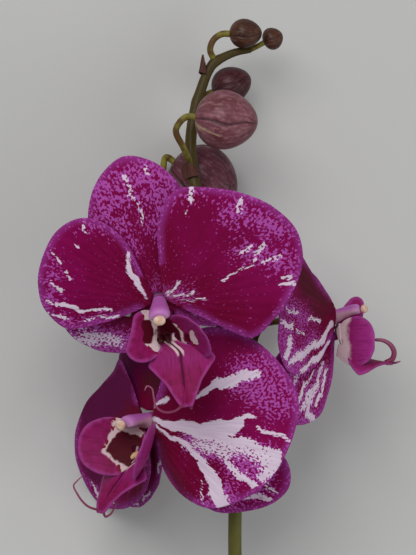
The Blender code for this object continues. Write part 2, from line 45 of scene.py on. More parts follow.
# How the whole spray lies on its three low points
SPRAY = (
    Matrix.Translation(Vector((14.05, 41.58, -4.97)))
    @ Matrix.Rotation(radians(-16.81), 4, "Y")
    @ Matrix.Rotation(radians(0.56), 4, "X")
)
MM = 0.001
# From the cut foot to the young end
STEM_PATH = [
    (12, -179, 6), (11.5, -157, 16), (10.5, -125, 29), (10, -94, 38), (10.5, -64, 45), (9, -38, 48),
    (6.5, -16, 47), (2, 6.5, 43), (-3, 27, 38), (-5.5, 38, 35), (-6.5, 48, 32.5), (-6, 56.5, 30.5),
    (-2.5, 71, 28), (0, 77.5, 27), (2.3, 81, 26.5), (5.7, 83, 26), (10.5, 85, 25.5), (16, 86, 25),
]
# Half the stem's thickness at its foot, what it loses evenly, and what only its young end loses
STEM_HALF, STEM_TAPER, END_TAPER = 2.8, 0.6, 0.9
# The swelling at a node: its height, and how far it reaches up and down
SWELLING, SWELLING_REACH = 0.3, 2.2
# Each node's height on the stem and the way that it faces
NODES = {
    "sheath_1": (-158.0, (-0.6, 0, 0.8)),
    "sheath_2": (-122.0, (0.7, 0, 0.7)),
    "left": (-67.0, (-0.9, 0, 0.3)),
    "right": (-42.0, (1.0, 0, 0.0)),
    "front": (-12.0, (-0.3, 0, 1.0)),
    "bud_1": (27.0, (-0.6, 0, -0.8)),
    "bud_2": (42.5, (-0.4, 0, 0.9)),
    "bud_3": (66.0, (0.4, 0, -0.9)),
    "bud_4": (81.0, (-0.8, 0.6, 0.2)),
}


def through(points, count):
    """A smooth curve through the given points, read at even steps along it."""
    points = np.array(points, float)
    steps = np.linalg.norm(np.diff(points, axis=0), axis=1)
    knots = np.concatenate([[0.0], np.cumsum(steps)])
    slopes = np.gradient(points, knots, axis=0)
    at = np.linspace(0.0, knots[-1], count)
    i = np.clip(np.searchsorted(knots, at, side="right") - 1, 0, len(knots) - 2)
    span = (knots[i + 1] - knots[i])[:, None]
    u = (at - knots[i])[:, None] / span
    return (
        (2 * u**3 - 3 * u**2 + 1) * points[i]
        + (u**3 - 2 * u**2 + u) * span * slopes[i]
        + (3 * u**2 - 2 * u**3) * points[i + 1]
        + (u**3 - u**2) * span * slopes[i + 1]
    )


def unit(v):
    """A vector of length one, the same way."""
    v = np.array(v, float)
    return v / np.linalg.norm(v)


def linear(colour):
    """The linear colour of an sRGB hex value."""
    parts = [int(colour[i : i + 2], 16) / 255 for i in (0, 2, 4)]
    parts = [c / 12.92 if c <= 0.04045 else ((c + 0.055) / 1.055) ** 2.4 for c in parts]
    return (*parts, 1.0)


def feed(node, inputs):
    """Sets inputs by name or number, each to a value, a socket, or a node's first output in use."""
    for key, value in inputs.items():
        if isinstance(value, bpy.types.Node):
            value = next(output for output in value.outputs if output.enabled)
        if isinstance(value, bpy.types.NodeSocket):
            node.id_data.links.new(value, node.inputs[key])
        else:
            node.inputs[key].default_value = value


def add(tree, kind, inputs=None, **settings):
    """Adds a node with its settings and its inputs."""
    node = tree.nodes.new(kind)
    for name, value in settings.items():
        setattr(node, name, value)
    feed(node, inputs or {})
    return node


def new_finish(name, **sockets):
    """An empty material with its shader, the values that are the same all over set on the shader itself."""
    finish = bpy.data.materials.new(name)
    finish.use_nodes = True
    tree = finish.node_tree
    shader = tree.nodes["Principled BSDF"]
    feed(shader, {key.replace("_", " "): value for key, value in sockets.items()})
    return finish, tree, shader


def lay(tree, colour, over, share, start, full, least=0.0, most=1.0, blend="LINEAR"):
    """Lays one colour over another, from least where the share is at start to most where it is at full."""
    colour, over = (linear(tone) if isinstance(tone, str) else tone for tone in (colour, over))
    reach = {0: share, 1: start, 2: full, 3: least, 4: most}
    amount = add(tree, "ShaderNodeMapRange", reach, interpolation_type=blend)
    return add(tree, "ShaderNodeMix", {0: amount, 6: colour, 7: over}, data_type="RGBA")


def end_finish(tree, shader, colour, height, strength, distance=0.0002):
    """Ends a finish with its colour all over, and a pattern's height as low relief."""
    relief = add(tree, "ShaderNodeBump", {"Strength": strength, "Distance": distance, "Height": height})
    feed(shader, {"Base Color": colour, "Normal": relief})


def new_tree(name, **inputs):
    """An empty tree that grows a mesh, with named inputs: gives the tree, their identifiers and sockets."""
    tree = bpy.data.node_groups.new(name, "GeometryNodeTree")
    keys = {}
    for key, kind in inputs.items():
        port = tree.interface.new_socket(key, in_out="INPUT", socket_type=f"NodeSocket{kind}")
        keys[key] = port.identifier
    tree.interface.new_socket("Grown", in_out="OUTPUT", socket_type="NodeSocketGeometry")
    return tree, keys, add(tree, "NodeGroupInput").outputs


def end_tree(tree, shape, finish):
    """Ends a tree with its instances made real and its finish set."""
    real = add(tree, "GeometryNodeRealizeInstances", {0: shape})
    dressed = add(tree, "GeometryNodeSetMaterial", {"Geometry": real, "Material": finish})
    add(tree, "NodeGroupOutput", {0: dressed})


def put(name, data):
    """A new object in the scene."""
    obj = bpy.data.objects.new(name, data)
    bpy.context.scene.collection.objects.link(obj)
    return obj


def grow(name, mesh, tree, keys, **inputs):
    """Grows a tree on a mesh, and keeps the outcome as a plain mesh."""
    obj = put(name, mesh)
    growth = obj.modifiers.new("growth", "NODES")
    growth.node_group = tree
    for key, value in inputs.items():
        growth[keys[key]] = value
    graph = bpy.context.evaluated_depsgraph_get()
    grown = bpy.data.meshes.new_from_object(obj.evaluated_get(graph))
    obj.modifiers.clear()
    obj.data = grown
    grown.shade_smooth()
    return obj


def claim(obj, node):
    """Says what a finished piece stands for in the frame."""
    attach(obj, "root")
    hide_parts(node)


# One tree sweeps a round bar along a line of points and closes its ends
bar_tree, BAR_KEYS, given = new_tree(
    "round bar along a line", Line="Geometry", Sides="Int", Finish="Material"
)
line = add(bar_tree, "GeometryNodeMeshToCurve", {"Mesh": given["Line"]})
section = add(bar_tree, "GeometryNodeCurvePrimitiveCircle", {"Resolution": given["Sides"], "Radius": 1.0})
half = add(bar_tree, "GeometryNodeInputNamedAttribute", {"Name": "half_thickness"}, data_type="FLOAT")
swept = {"Curve": line, "Profile Curve": section, "Scale": half, "Fill Caps": True}
end_tree(bar_tree, add(bar_tree, "GeometryNodeCurveToMesh", swept), given["Finish"])


def bar(name, path, radii, sides, finish, node):
    """A bar along a path in the spray's millimetres; each point's share of the way goes with it."""
    path = [SPRAY @ Vector(p) * MM for p in path]
    mesh = bpy.data.meshes.new(name)
    mesh.from_pydata(path, [(i, i + 1) for i in range(len(path) - 1)], [])
    marks = {"half_thickness": np.array(radii) * MM, "share": np.linspace(0, 1, len(path))}
    for key, values in marks.items():
        mesh.attributes.new(key, "FLOAT", "POINT").data.foreach_set("value", values)
    claim(grow(name, mesh, bar_tree, BAR_KEYS, Sides=sides, Finish=finish), node)


stem_line = through(STEM_PATH, 184)
stem_heading = np.gradient(stem_line, axis=0)
stem_heading /= np.linalg.norm(stem_heading, axis=1, keepdims=True)
stem_step = np.linalg.norm(np.diff(stem_line, axis=0), axis=1).mean()


def stem_place(name):
    """The step along the stem's line at which a node sits."""
    return int(np.argmin(np.abs(stem_line[:, 1] - NODES[name][0])))


def stem_half(at):
    """Half the stem's thickness at a step along its line: a slow taper with a swelling at each node."""
    share = at / (len(stem_line) - 1)
    half = STEM_HALF - STEM_TAPER * share - END_TAPER * share**14
    for name in NODES:
        away = abs(at - stem_place(name)) * stem_step
        half += SWELLING * np.exp(-((away / SWELLING_REACH) ** 2))
    return half


def on_stem(name, above=0.0):
    """A point on the stem's line above a node, the way up the stem, the way out, and half the thickness."""
    at = stem_place(name) + above / stem_step
    low = int(at)
    spot = stem_line[low] + (stem_line[low + 1] - stem_line[low]) * (at - low)
    up = unit(stem_heading[low] + (stem_heading[low + 1] - stem_heading[low]) * (at - low))
    way = np.array(NODES[name][1], float)
    return spot, up, unit(way - up * np.dot(way, up)), stem_half(at)


# Orchid stem, grown: fleshy green skin under a film of wax, brown where young; its pores show as fine
# pale specks
stem_skin, tree, shader = new_finish(
    "orchid stem, fleshy green skin", Roughness=0.45, Specular_IOR_Level=0.15
)
here = add(tree, "ShaderNodeTexCoord").outputs["Object"]
share = add(tree, "ShaderNodeAttribute", attribute_name="share").outputs["Fac"]
cloud = add(tree, "ShaderNodeTexNoise", {"Vector": here, "Scale": 160.0, "Detail": 3.0})
green = add(tree, "ShaderNodeMix", {0: cloud, 6: linear("4f4b20"), 7: linear("6b6934")}, data_type="RGBA")
brown = add(tree, "ShaderNodeMix", {0: cloud, 6: linear("33290f"), 7: linear("4c3e1c")}, data_type="RGBA")
skin = lay(tree, green, brown, share, 0.45, 0.75, blend="SMOOTHSTEP")
# Breathing pores about 0.5 mm apart
pores = add(tree, "ShaderNodeTexVoronoi", {"Vector": here, "Scale": 1900.0})
skin = lay(tree, skin, "7d7742", pores, 0.12, 0.3, 0.25, 0.0)
end_finish(tree, shader, skin, cloud, 0.5)

# The bar starts a hair above the cut and is drawn in a little, being rounder than the flat-sided solid
CUT_BACK, DRAWN_IN = 0.02, 0.96
steps = np.linspace(CUT_BACK, len(stem_line) - 1, 320)
fine_line = np.stack([np.interp(steps, range(len(stem_line)), stem_line[:, k]) for k in range(3)], axis=1)
bar("stem", fine_line, [stem_half(at) * DRAWN_IN for at in steps], 24, stem_skin, "stem")

# Bracts and dry sheaths
# At each node the stem keeps the scale leaf that once covered the bud there: short pointed bracts under
# the flowers, and two longer sheaths lower down that have dried to brown paper, clasping the stem.


def blade(middle, thickness):
    """A closed blade round a grid of middle points, with one thickness for each of its points."""
    rows, columns = middle.shape[:2]
    along = np.gradient(middle, axis=0)
    across = np.gradient(middle, axis=1)
    normal = np.cross(across, along)
    normal /= np.linalg.norm(normal, axis=2, keepdims=True)
    half = thickness[:, :, None] / 2
    front = (middle + normal * half).reshape(-1, 3)
    back = (middle - normal * half).reshape(-1, 3)
    total = rows * columns
    faces = []
    for r in range(rows - 1):
        for c in range(columns - 1):
            a = r * columns + c
            faces.append((a, a + 1, a + columns + 1, a + columns))
            faces.append((total + a, total + a + columns, total + a + columns + 1, total + a + 1))
    edge = list(range(columns))
    edge += [r * columns + columns - 1 for r in range(1, rows)]
    edge += [(rows - 1) * columns + c for c in range(columns - 2, -1, -1)]
    edge += [r * columns for r in range(rows - 2, 0, -1)]
    for a, b in zip(edge, edge[1:] + edge[:1]):
        faces.append((b, a, total + a, total + b))
    return np.concatenate([front, back]), faces


def seat(name, points, faces, finish, node, marks, basis=None):
    """A closed mesh of points in millimetres, put where the spray has it; marks are vectors at its points."""
    place = SPRAY @ (basis or Matrix.Identity(4))
    mesh = bpy.data.meshes.new(name)
    mesh.from_pydata([place @ Vector(p) * MM for p in points], [], faces)
    for key, values in marks.items():
        mesh.attributes.new(key, "FLOAT_VECTOR", "POINT").data.foreach_set("vector", values.ravel())
    mesh.materials.append(finish)
    mesh.shade_smooth()
    claim(put(name, mesh), node)


def seat_blade(name, middle, thickness, finish, node, marks, basis=None):
    """A blade with the marks of its grid on both of its faces."""
    points, faces = blade(middle, thickness)
    marks = {key: np.concatenate([values.reshape(-1, 3)] * 2) for key, values in marks.items()}
    seat(name, points, faces, finish, node, marks, basis)


# Scale leaf, dried on the plant: papery, matt, with long fibres about 0.4 mm apart; bracts are a darker red
paper, tree, shader = new_finish("dry scale leaf, papery and fibrous", Roughness=0.8, Specular_IOR_Level=0.2)
wrap = add(tree, "ShaderNodeAttribute", attribute_name="wrap").outputs["Vector"]
_, _, youth = add(tree, "ShaderNodeSeparateXYZ", {0: wrap}).outputs
long_grain = add(tree, "ShaderNodeVectorMath", {0: wrap, 1: (2.4, 0.16, 1.0)}, operation="MULTIPLY")
fibre = add(tree, "ShaderNodeTexNoise", {"Vector": long_grain, "Scale": 1.0, "Detail": 3.0})
fibre = add(tree, "ShaderNodeMapRange", {0: fibre, 1: 0.3, 2: 0.7})
tone = add(tree, "ShaderNodeMix", {0: fibre, 6: linear("4e3524"), 7: linear("9a7d57")}, data_type="RGBA")
young = add(tree, "ShaderNodeMix", {0: fibre, 6: linear("381c1c"), 7: linear("5e3a30")}, data_type="RGBA")
tone = add(tree, "ShaderNodeMix", {0: youth, 6: tone, 7: young}, data_type="RGBA")
end_finish(tree, shader, tone, fibre, 0.8)


# How far the scale's middle stands off the stem, how high its ribs are, and how far apart
STAND_OFF, RIB_HEIGHT, RIB_SPACING = 0.9, 0.06, 0.9


def scale_leaf(name, height, half_turn, lean, drop, youth):
    """A pointed scale round the stem, from drop below its node, leaning out by lean at its tip."""
    rows, columns = 26, 41
    middle, wrap = np.zeros((2, rows, columns, 3))
    for r in range(rows):
        h = r / (rows - 1)
        root, up, out, half = on_stem(name, height * h - drop)
        across = np.cross(up, out)
        reach = half + STAND_OFF + lean * h**1.5
        # The scale narrows to a blunt tip
        opening = radians(half_turn) * (1 - h**1.6) + 0.12
        for c in range(columns):
            a = opening * (2 * c / (columns - 1) - 1)
            ribbed = reach + RIB_HEIGHT * sin(a * reach * 2 * pi / RIB_SPACING)
            middle[r, c] = root + across * sin(a) * ribbed + out * cos(a) * ribbed
            wrap[r, c] = (a * reach, h * height, youth)
    thickness = 0.6 - 0.25 * np.linspace(0, 1, rows)[:, None] ** 2 * np.ones(columns)
    label, slot = (name, "dry_sheath") if youth == 0 else (f"bract_{name}", "bract")
    seat_blade(label, middle, thickness, paper, label, {"wrap": wrap})


scale_leaf("sheath_1", 15.0, 150, 0.5, 1.0, 0.0)
scale_leaf("sheath_2", 13.0, 150, 0.5, 1.0, 0.0)
for name in ("left", "right", "front", "bud_1", "bud_2", "bud_3", "bud_4"):
    scale_leaf(name, 5.2, 65, 2.2, 6.6, 1.0)

# Flower and bud stalks
# Each bloom and each bud hangs on its own thin green stalk, which grows out of the stem just above a
# bract. It is the flower's ovary: round, fleshy, and thicker where it meets the flower.


def stalk_finish(name, tip_tone):
    """Orchid stalk, grown: smooth yellow-green skin, blushed red-brown in patches, tip_tone at its end."""
    finish, tree, shader = new_finish(name, Roughness=0.45, Specular_IOR_Level=0.15)
    here = add(tree, "ShaderNodeTexCoord").outputs["Object"]
    cloud = add(tree, "ShaderNodeTexNoise", {"Vector": here, "Scale": 220.0, "Detail": 2.0})
    tone = lay(tree, "77702c", "553c20", cloud, 0.42, 0.62)
    share = add(tree, "ShaderNodeAttribute", attribute_name="share").outputs["Fac"]
    tone = lay(tree, tone, tip_tone, share, 0.93, 0.97)
    end_finish(tree, shader, tone, cloud, 0.4)
    return finish


bloom_stalk_skin = stalk_finish("orchid bloom stalk, smooth yellow-green skin", "93407f")
bud_stalk_skin = stalk_finish("orchid bud stalk, smooth yellow-green skin", "77702c")

# Half a stalk's thickness, and what it is where the stalk meets its bloom or its bud
STALK_HALF, BLOOM_KNOB, BUD_KNOB = 1.2, 2.1, 1.32
STALK_SIDES = 18
# How far a stalk runs on into the stem and into its bud, so that they grow together
SUNK = 1.0


def stalk(name, via, end, knob, finish):
    """A stalk from its node on the stem to its flower, where it thickens to knob on either side."""
    root, _, out, half = on_stem(name)
    path = through([root + out * (half - SUNK), *via, *end], 64)
    radii = STALK_HALF + (knob - STALK_HALF) * np.linspace(0, 1, len(path)) ** 6
    bar(f"stalk_{name}", path, radii, STALK_SIDES, finish, f"stalk_{name}")


def bloom_axes(hub, facing, lean):
    """A bloom's own axes: +Z the way it faces, +Y towards its top sepal."""
    ahead = Vector(facing).normalized()
    up = (Vector((0, 1, 0)) - ahead * ahead.y).normalized()
    turned = Matrix.Rotation(radians(-lean), 3, ahead) @ up
    axes = Matrix((turned.cross(ahead), turned, ahead)).transposed().to_4x4()
    return Matrix.Translation(Vector(hub)) @ axes


blooms = {
    "front": bloom_axes((-17.0, -7.9, 98.0), (0, -0.423, 0.906), -9),
    "left": bloom_axes((-21.0, -50.8, 66.0), (-0.72, -0.27, 0.64), 0),
    "right": bloom_axes((46.5, -13.9, 40.0), (0.985, 0.12, 0.10), 0),
}


def bloom_stalk(name, via, straight):
    """A bloom's stalk, which comes in straight behind the bloom over its last millimetres."""
    end = [blooms[name] @ Vector((0, 0, -d)) for d in (straight, straight * 0.45, 0)]
    stalk(name, via, end, BLOOM_KNOB, bloom_stalk_skin)


bloom_stalk("left", [(5, -59, 49), (-3, -52, 53)], 13)
bloom_stalk("right", [(15, -32, 46), (20, -18, 44.5)], 16)
bloom_stalk("front", [(3, -4, 58), (-4, 1, 68)], 16)

# Sepals and petals
# Three sepals stand behind two broad petals in each bloom: waxy, slightly fleshy flower tissue. Each is
# deep crimson-magenta, netted with lilac towards its rim, with white flames that run along its veins.

# How far a leaf's claw is from the middle of its bloom
LEAF_RING = 2.55
# The outlines are drawn in a little, so that the rounder leaves stay as large as the flat-sided ones
LEAF_DRAWN_IN = 0.993


def leaf_basis(azimuth, sweep, roll, ring, level):
    """A flower leaf's axes in its bloom: +Y to its tip, +Z its face, set out at azimuth and swept back."""
    return (
        Matrix.Rotation(radians(-azimuth), 4, "Z")
        @ Matrix.Translation(Vector((0, ring, level)))
        @ Matrix.Rotation(radians(-sweep), 4, "X")
        @ Matrix.Rotation(radians(roll), 4, "Y")
    )


def brushed(x, y, strokes, softness):
    """How deep each point lies in the strokes: 0.5 at a stroke's edge, 1 well inside, 0 well outside.

    A stroke runs from a point to a point, and has half its width at each.
    """
    # The strokes waver by half a millimetre, as nothing grown is straight
    x = x + 0.5 * np.sin(y * 0.55 + 1.3) + 0.25 * np.sin(y * 1.3 + x * 0.4)
    y = y + 0.5 * np.sin(x * 0.5) + 0.25 * np.sin(x * 1.2 + 0.7)
    depth = np.zeros(x.shape)
    for x0, y0, half0, x1, y1, half1 in strokes:
        dx, dy = x1 - x0, y1 - y0
        t = np.clip(((x - x0) * dx + (y - y0) * dy) / (dx * dx + dy * dy), 0, 1)
        away = np.hypot(x - x0 - t * dx, y - y0 - t * dy) - (half0 + (half1 - half0) * t - 0.15)
        depth = np.maximum(depth, np.clip(0.5 - away / softness, 0, 1))
    return depth


def leaf_grid(outline, claw, rows, columns, arch, cup, wave):
    """The middle surface of a flower leaf, a fan from its claw to its outline, with three grids more.

    They hold how far away the rim is, and the shares of the way out to it and round along it.
    """
    edge = through(outline, columns) * LEAF_DRAWN_IN
    length = edge[:, 1].max()
    half = np.abs(edge[:, 0]).max()
    share = np.linspace(0, 1, rows)[:, None] ** 0.9
    turn = np.linspace(0, 1, columns)[None, :]
    foot = np.linspace(-claw, claw, columns)
    x = foot + share * (edge[:, 0] - foot)
    y = share * edge[:, 1]
    ripple = wave[0] * share**3 * np.sin(2 * pi * wave[1] * turn + wave[2]) * np.sin(pi * turn) ** 0.3
    z = arch * (y / length) ** 2 + cup * (x / half) ** 2 * share + ripple
    rim = np.full(x.shape, 1e9)
    for px, py in edge:
        rim = np.minimum(rim, np.hypot(x - px, y - py))
    # Turned round, so that the blade's front is the side that the flower shows
    return [grid[:, ::-1] for grid in np.broadcast_arrays(x, y, z, rim, share, turn)]


def layers(*grids):
    """Grids, or plain numbers among them, as one grid of vectors."""
    return np.stack(np.broadcast_arrays(*grids), axis=2)


# Half the width of the claw, and how far in front of the stalk's end the leaf starts
CLAWS = {"sepal": (1.5, -0.9), "petal": (1.4, 0.9)}
# Veins fan out from 3 mm below the claw, and 36 mm from there they are 4 mm apart
FAN_FOOT, FAN_REACH, VEIN_SPACING = 3, 36, 4


def flower_leaf(
    bloom, name, azimuth, sweep, roll, outline, arch, cup, wave, flames, net, shade_purple=(), dark=(), dotted=()
):
    """A sepal or petal with its own markings, white flames and lilac net, and with painted shade: plain
    purple where it lies in shade and dark maroon in its folds.
    """
    kind = name.split("_")[0]
    claw, level = CLAWS[kind]
    x, y, z, rim, share, turn = leaf_grid(outline, claw, 60, 141, arch, cup, wave)
    angle, reach = np.arctan2(x, y + FAN_FOOT), np.hypot(x, y + FAN_FOOT)
    # Veins stand as faint ridges, the midrib is a shallow trough and the margin ripples
    inner = np.clip(rim / 4, 0, 1)
    veins = np.cos(2 * pi * angle * FAN_REACH / VEIN_SPACING)
    z = z + 0.1 * veins * np.clip(share * 1.6, 0, 1) * inner
    z = z - 0.25 * np.exp(-((x / 1.3) ** 2)) * (1 - share) * np.clip(share * 6, 0, 1)
    z = z + 0.14 * share**6 * np.sin(2 * pi * 9 * turn)
    thickness = 0.35 + 0.3 * np.clip(rim / 3.0, 0, 1)
    # Each leaf reads the patterns at a level of its own, so no two are marked alike
    seed = sum(ord(c) for c in bloom + name) % 17 * 7.3
    spots = brushed(x, y, net, 9.0) + brushed(x, y, dotted, 6.0)
    marks = {
        "place": layers(x, y, seed),
        "fan": layers(FAN_REACH * angle, 0.62 * reach, seed),
        "tone": layers(brushed(x, y, flames, 3.5), rim, y / y.max()),
        # The purple and dark maroon strokes are painted shade, not markings of the leaf
        "tint": layers(spots, brushed(x, y, shade_purple, 5.0), brushed(x, y, dark, 5.0)),
    }
    label = f"{bloom}_{name}"
    basis = blooms[bloom] @ leaf_basis(azimuth, sweep, roll, LEAF_RING, level)
    seat_blade(label, layers(x, y, z), thickness, flower_skin, label, marks, basis)


# Orchid petal, grown: waxy skin over crimson sap, so the ground is deep and its highlights weak; the lilac
# net is where the sap thins and the flames where it is missing, both in cells about 1 mm across
flower_skin, tree, shader = new_finish(
    "orchid petal, waxy spotted tissue", Roughness=0.55, Specular_IOR_Level=0.05
)
place, fan, tone, tint = (
    add(tree, "ShaderNodeAttribute", attribute_name=mark).outputs["Vector"]
    for mark in ("place", "fan", "tone", "tint")
)
flame, rim, height = add(tree, "ShaderNodeSeparateXYZ", {0: tone}).outputs
net, shade_purple, dark = add(tree, "ShaderNodeSeparateXYZ", {0: tint}).outputs
cloud = add(tree, "ShaderNodeTexNoise", {"Vector": place, "Scale": 0.07, "Detail": 2.0})
cells = add(tree, "ShaderNodeTexNoise", {"Vector": fan, "Scale": 1.5, "Detail": 1.0})
grain = add(tree, "ShaderNodeTexNoise", {"Vector": place, "Scale": 3.0, "Detail": 1.0})
lines = add(tree, "ShaderNodeVectorMath", {0: fan, 1: (1.3, 0.16, 1.0)}, operation="MULTIPLY")
lines = add(tree, "ShaderNodeTexNoise", {"Vector": lines, "Scale": 1.0, "Detail": 2.0})
# Crimson near the heart, magenta further out
far = add(tree, "ShaderNodeMath", {0: height, 1: cloud}, operation="ADD")
colour = lay(tree, "68022c", "7c0549", far, 0.6, 1.35, blend="SMOOTHSTEP")
# A plain lilac-magenta band shades off from the rim
edge = add(tree, "ShaderNodeMath", {0: cloud, 1: -3.0, 2: rim}, operation="MULTIPLY_ADD")
colour = lay(tree, colour, "8c3080", edge, -1.4, 2.0, 0.8, 0.0, "SMOOTHSTEP")
# Lilac: single dots, then a net, then a plain band at the rim, as it grows denser
dense = add(tree, "ShaderNodeMapRange", {0: rim, 1: 0.3, 2: 3.0, 3: 0.7, 4: 0.0})
dense = add(tree, "ShaderNodeMath", {0: dense, 1: net}, operation="MAXIMUM")
dense = add(tree, "ShaderNodeMath", {0: flame, 1: 0.5, 2: dense}, operation="MULTIPLY_ADD")
dense = add(tree, "ShaderNodeMath", {0: cloud, 1: 0.5, 2: dense}, operation="MULTIPLY_ADD")
over = add(tree, "ShaderNodeMath", {0: net, 1: 1.0}, operation="SUBTRACT")
over = add(tree, "ShaderNodeMath", {0: over, 1: 0.0}, operation="MAXIMUM")
dense = add(tree, "ShaderNodeMath", {0: over, 1: -1.0, 2: dense}, operation="MULTIPLY_ADD")
lilac = add(tree, "ShaderNodeMath", {0: dense, 1: 0.25, 2: cells}, operation="MULTIPLY_ADD")
pinker = add(tree, "ShaderNodeMix", {0: grain, 6: linear("962c8c"), 7: linear("b25cac")}, data_type="RGBA")
colour = lay(tree, colour, pinker, lilac, 0.77, 0.83, blend="SMOOTHSTEP")
# Painted shade: plain dark purple where a leaf lies in shade, then dark maroon in its shaded folds
colour = add(tree, "ShaderNodeMix", {0: shade_purple, 6: colour, 7: linear("5a0a3e")}, data_type="RGBA")
colour = add(tree, "ShaderNodeMix", {0: dark, 6: colour, 7: linear("501326")}, data_type="RGBA")
# Flames: frayed along the veins, and broken up by magenta dots where the net is laid on double
fray = add(tree, "ShaderNodeMath", {0: lines, 1: 0.45, 2: flame}, operation="MULTIPLY_ADD")
fray = add(tree, "ShaderNodeMath", {0: over, 1: -0.2, 2: fray}, operation="MULTIPLY_ADD")
loose = add(tree, "ShaderNodeMath", {0: net, 1: 0.8, 2: 0.3}, operation="MULTIPLY_ADD")
loose = add(tree, "ShaderNodeMath", {0: over, 1: 2.0, 2: loose}, operation="MULTIPLY_ADD")
cell_step = add(tree, "ShaderNodeMath", {0: cells, 1: 0.5}, operation="SUBTRACT")
fray = add(tree, "ShaderNodeMath", {0: cell_step, 1: loose, 2: fray}, operation="MULTIPLY_ADD")
paler = add(tree, "ShaderNodeMix", {0: lines, 6: linear("c2a6c3"), 7: linear("e2d4df")}, data_type="RGBA")
colour = lay(tree, colour, paler, fray, 0.7, 0.76, blend="SMOOTHSTEP")
# Cells and veins as low relief, about 0.1 mm high
relief = add(tree, "ShaderNodeMath", {0: lines, 1: cells}, operation="ADD")
end_finish(tree, shader, colour, relief, 0.4)

flower_leaf(
    "front", "sepal_top", -4, 15, 0,
    [
        (-8, 4), (-16, 13), (-19, 24), (-17, 35), (-10, 45), (-1, 49.5), (8, 46), (15.5, 36),
        (18, 25), (15.5, 13), (8, 4),
    ],
    arch=-1.0, cup=-1.5, wave=(0.5, 2, 0.5),
    flames=[(-2.5, 41.5, 0.7, 0, 32, 0.7), (0, 32, 0.6, 0.5, 25, 0.4), (5.5, 44, 0.7, 5.5, 42, 0.7)],
    net=[
        (-9, 38, 9, 8, 38, 9), (-14, 30, 7, -13, 16, 5), (-7, 26, 5, -5, 18, 3), (11, 34, 7, 5, 24, 5),
        (0, 0, 2, 0, 4, 1.5),
    ],
)
flower_leaf(
    "front", "sepal_left", -114, 20, 0,
    [
        (-7, 5), (-13, 13), (-15, 23), (-12.5, 31), (-6, 37.5), (3, 39.5), (10, 35), (13, 27),
        (12, 16), (6, 5),
    ],
    arch=-2.0, cup=-1.0, wave=(0.5, 2, 0),
    flames=[(3.5, 39, 0.9, 2, 27, 1.2), (2, 27, 1.2, 0, 11.5, 0.9), (-4, 34, 3.5, -8, 24, 3)],
    net=[(-1.5, 38, 7, -8, 29, 7), (-8, 29, 6, -10, 20, 5)],
    dotted=[(-3, 35, 6, -8, 24, 5)],
)
flower_leaf(
    "front", "sepal_right", 106, 20, 0,
    [
        (-6, 5), (-12, 16), (-13, 27), (-10, 35), (-3, 39.5), (5, 37), (10, 31), (12, 23),
        (11, 13), (6, 5),
    ],
    arch=-2.0, cup=-1.0, wave=(0.5, 2, 0),
    flames=[(5.5, 12, 1.2, 8.5, 20, 1.2), (9.5, 21.5, 0.7, 12.5, 28, 0.7)],
    net=[(6, 14, 4, 4, 30, 6)],
)
flower_leaf(
    "front", "petal_left", -70, 10, 0,
    [
        (-5, 4), (-13, 15), (-19.5, 30), (-14, 37.5), (-5, 41), (6, 41), (16, 38), (22.5, 31.5),
        (24, 25), (20.5, 15), (10, 6),
    ],
    arch=-1.0, cup=-1.0, wave=(0.6, 2.5, 0),
    flames=[
        (16, 12, 0.6, 10, 10, 0.9), (10, 10, 0.9, 4.5, 6.5, 1.3), (4.5, 6.5, 1.3, 0.5, 2.5, 0.6),
        (-10.5, 37, 0.6, -11, 31, 1.1), (-11, 31, 1.1, -10.5, 23, 0.9), (-10.5, 23, 0.8, -7, 13, 0.5),
        (-15, 35, 0.6, -16, 28, 0.6), (-14.2, 22, 0.5, -9, 11, 0.6), (-2.5, 35.5, 0.6, -5, 32, 1.1),
        (2, 32, 0.6, -0.5, 29.5, 0.6),
        (8.5, 37.5, 0.6, 5.5, 34.5, 0.7), (21, 29, 0.6, 18, 27.5, 0.6), (13, 30, 0.5, 11.5, 29, 0.5),
    ],
    net=[(5, 37, 3, -10, 35, 3.5), (-18, 30, 3, -12, 17, 2), (21, 30, 2.5, 23, 18, 2.5)],
)
flower_leaf(
    "front", "petal_right", 64, 8, 0,
    [
        (-13, 6.5), (-24.5, 15), (-29.5, 24), (-21, 38), (-4, 49.5), (9, 51), (19, 46.5), (26.5, 37),
        (31, 25.5), (32, 15.5), (22.5, 10), (9, 3.5),
    ],
    arch=-1.0, cup=-1.53, wave=(0.57, 3, 0.4),
    flames=[
        (-28, 30.5, 0.7, -23, 28, 0.8), (-22.5, 25, 0.5, -20, 24, 0.5), (-13.5, 41.5, 0.9, -10.5, 39, 0.9),
        (7, 19.5, 0.6, 8, 24, 0.6), (7, 25.5, 0.5, 9, 32.5, 0.6), (11, 34.5, 0.6, 12, 41, 0.9),
        (19.5, 36, 0.7, 21.5, 39, 0.9), (21.5, 34.5, 0.7, 24, 38, 0.9), (0.5, 1.5, 0.3, 4.5, 9.5, 0.6),
        (4, 4.5, 0.2, 9.5, 10.5, 0.4), (-0.3, 1, 0.4, -2, 6.5, 0.8), (6.5, 35, 0.9, 5, 39, 0.9),
        (2, 30.5, 0.6, 3.5, 34.5, 0.8),
    ],
    net=[
        (-11, 37, 6, 4, 47, 6), (2, 32, 5, 16, 42, 5), (-29, 21, 2.5, -24, 32, 2.5), (0, 0, 3, 3, 7, 2.5),
    ],
)
flower_leaf(
    "left", "sepal_top", 0, 21, 11,
    [
        (-10, 3), (-17, 9), (-20, 18), (-18.5, 28), (-15, 37), (-9, 44), (0, 47), (8, 43), (12, 34),
        (12.5, 23), (10, 12), (5, 4),
    ],
    arch=-3.0, cup=-4.0, wave=(0.4, 2, 0.5),
    flames=[(4, 6, 0.6, 7.5, 6.5, 0.8)],
    net=[(0, 38, 6, 4, 30, 5)],
    # Painted shade: plain purple where this sepal lies in shade, and dark maroon near its claw
    shade_purple=[(-14, 20, 7, -12, 8, 6), (-6, 20, 4, -3, 15, 3)],
    dark=[(-1, 10, 4, 5, 12, 5)],
)
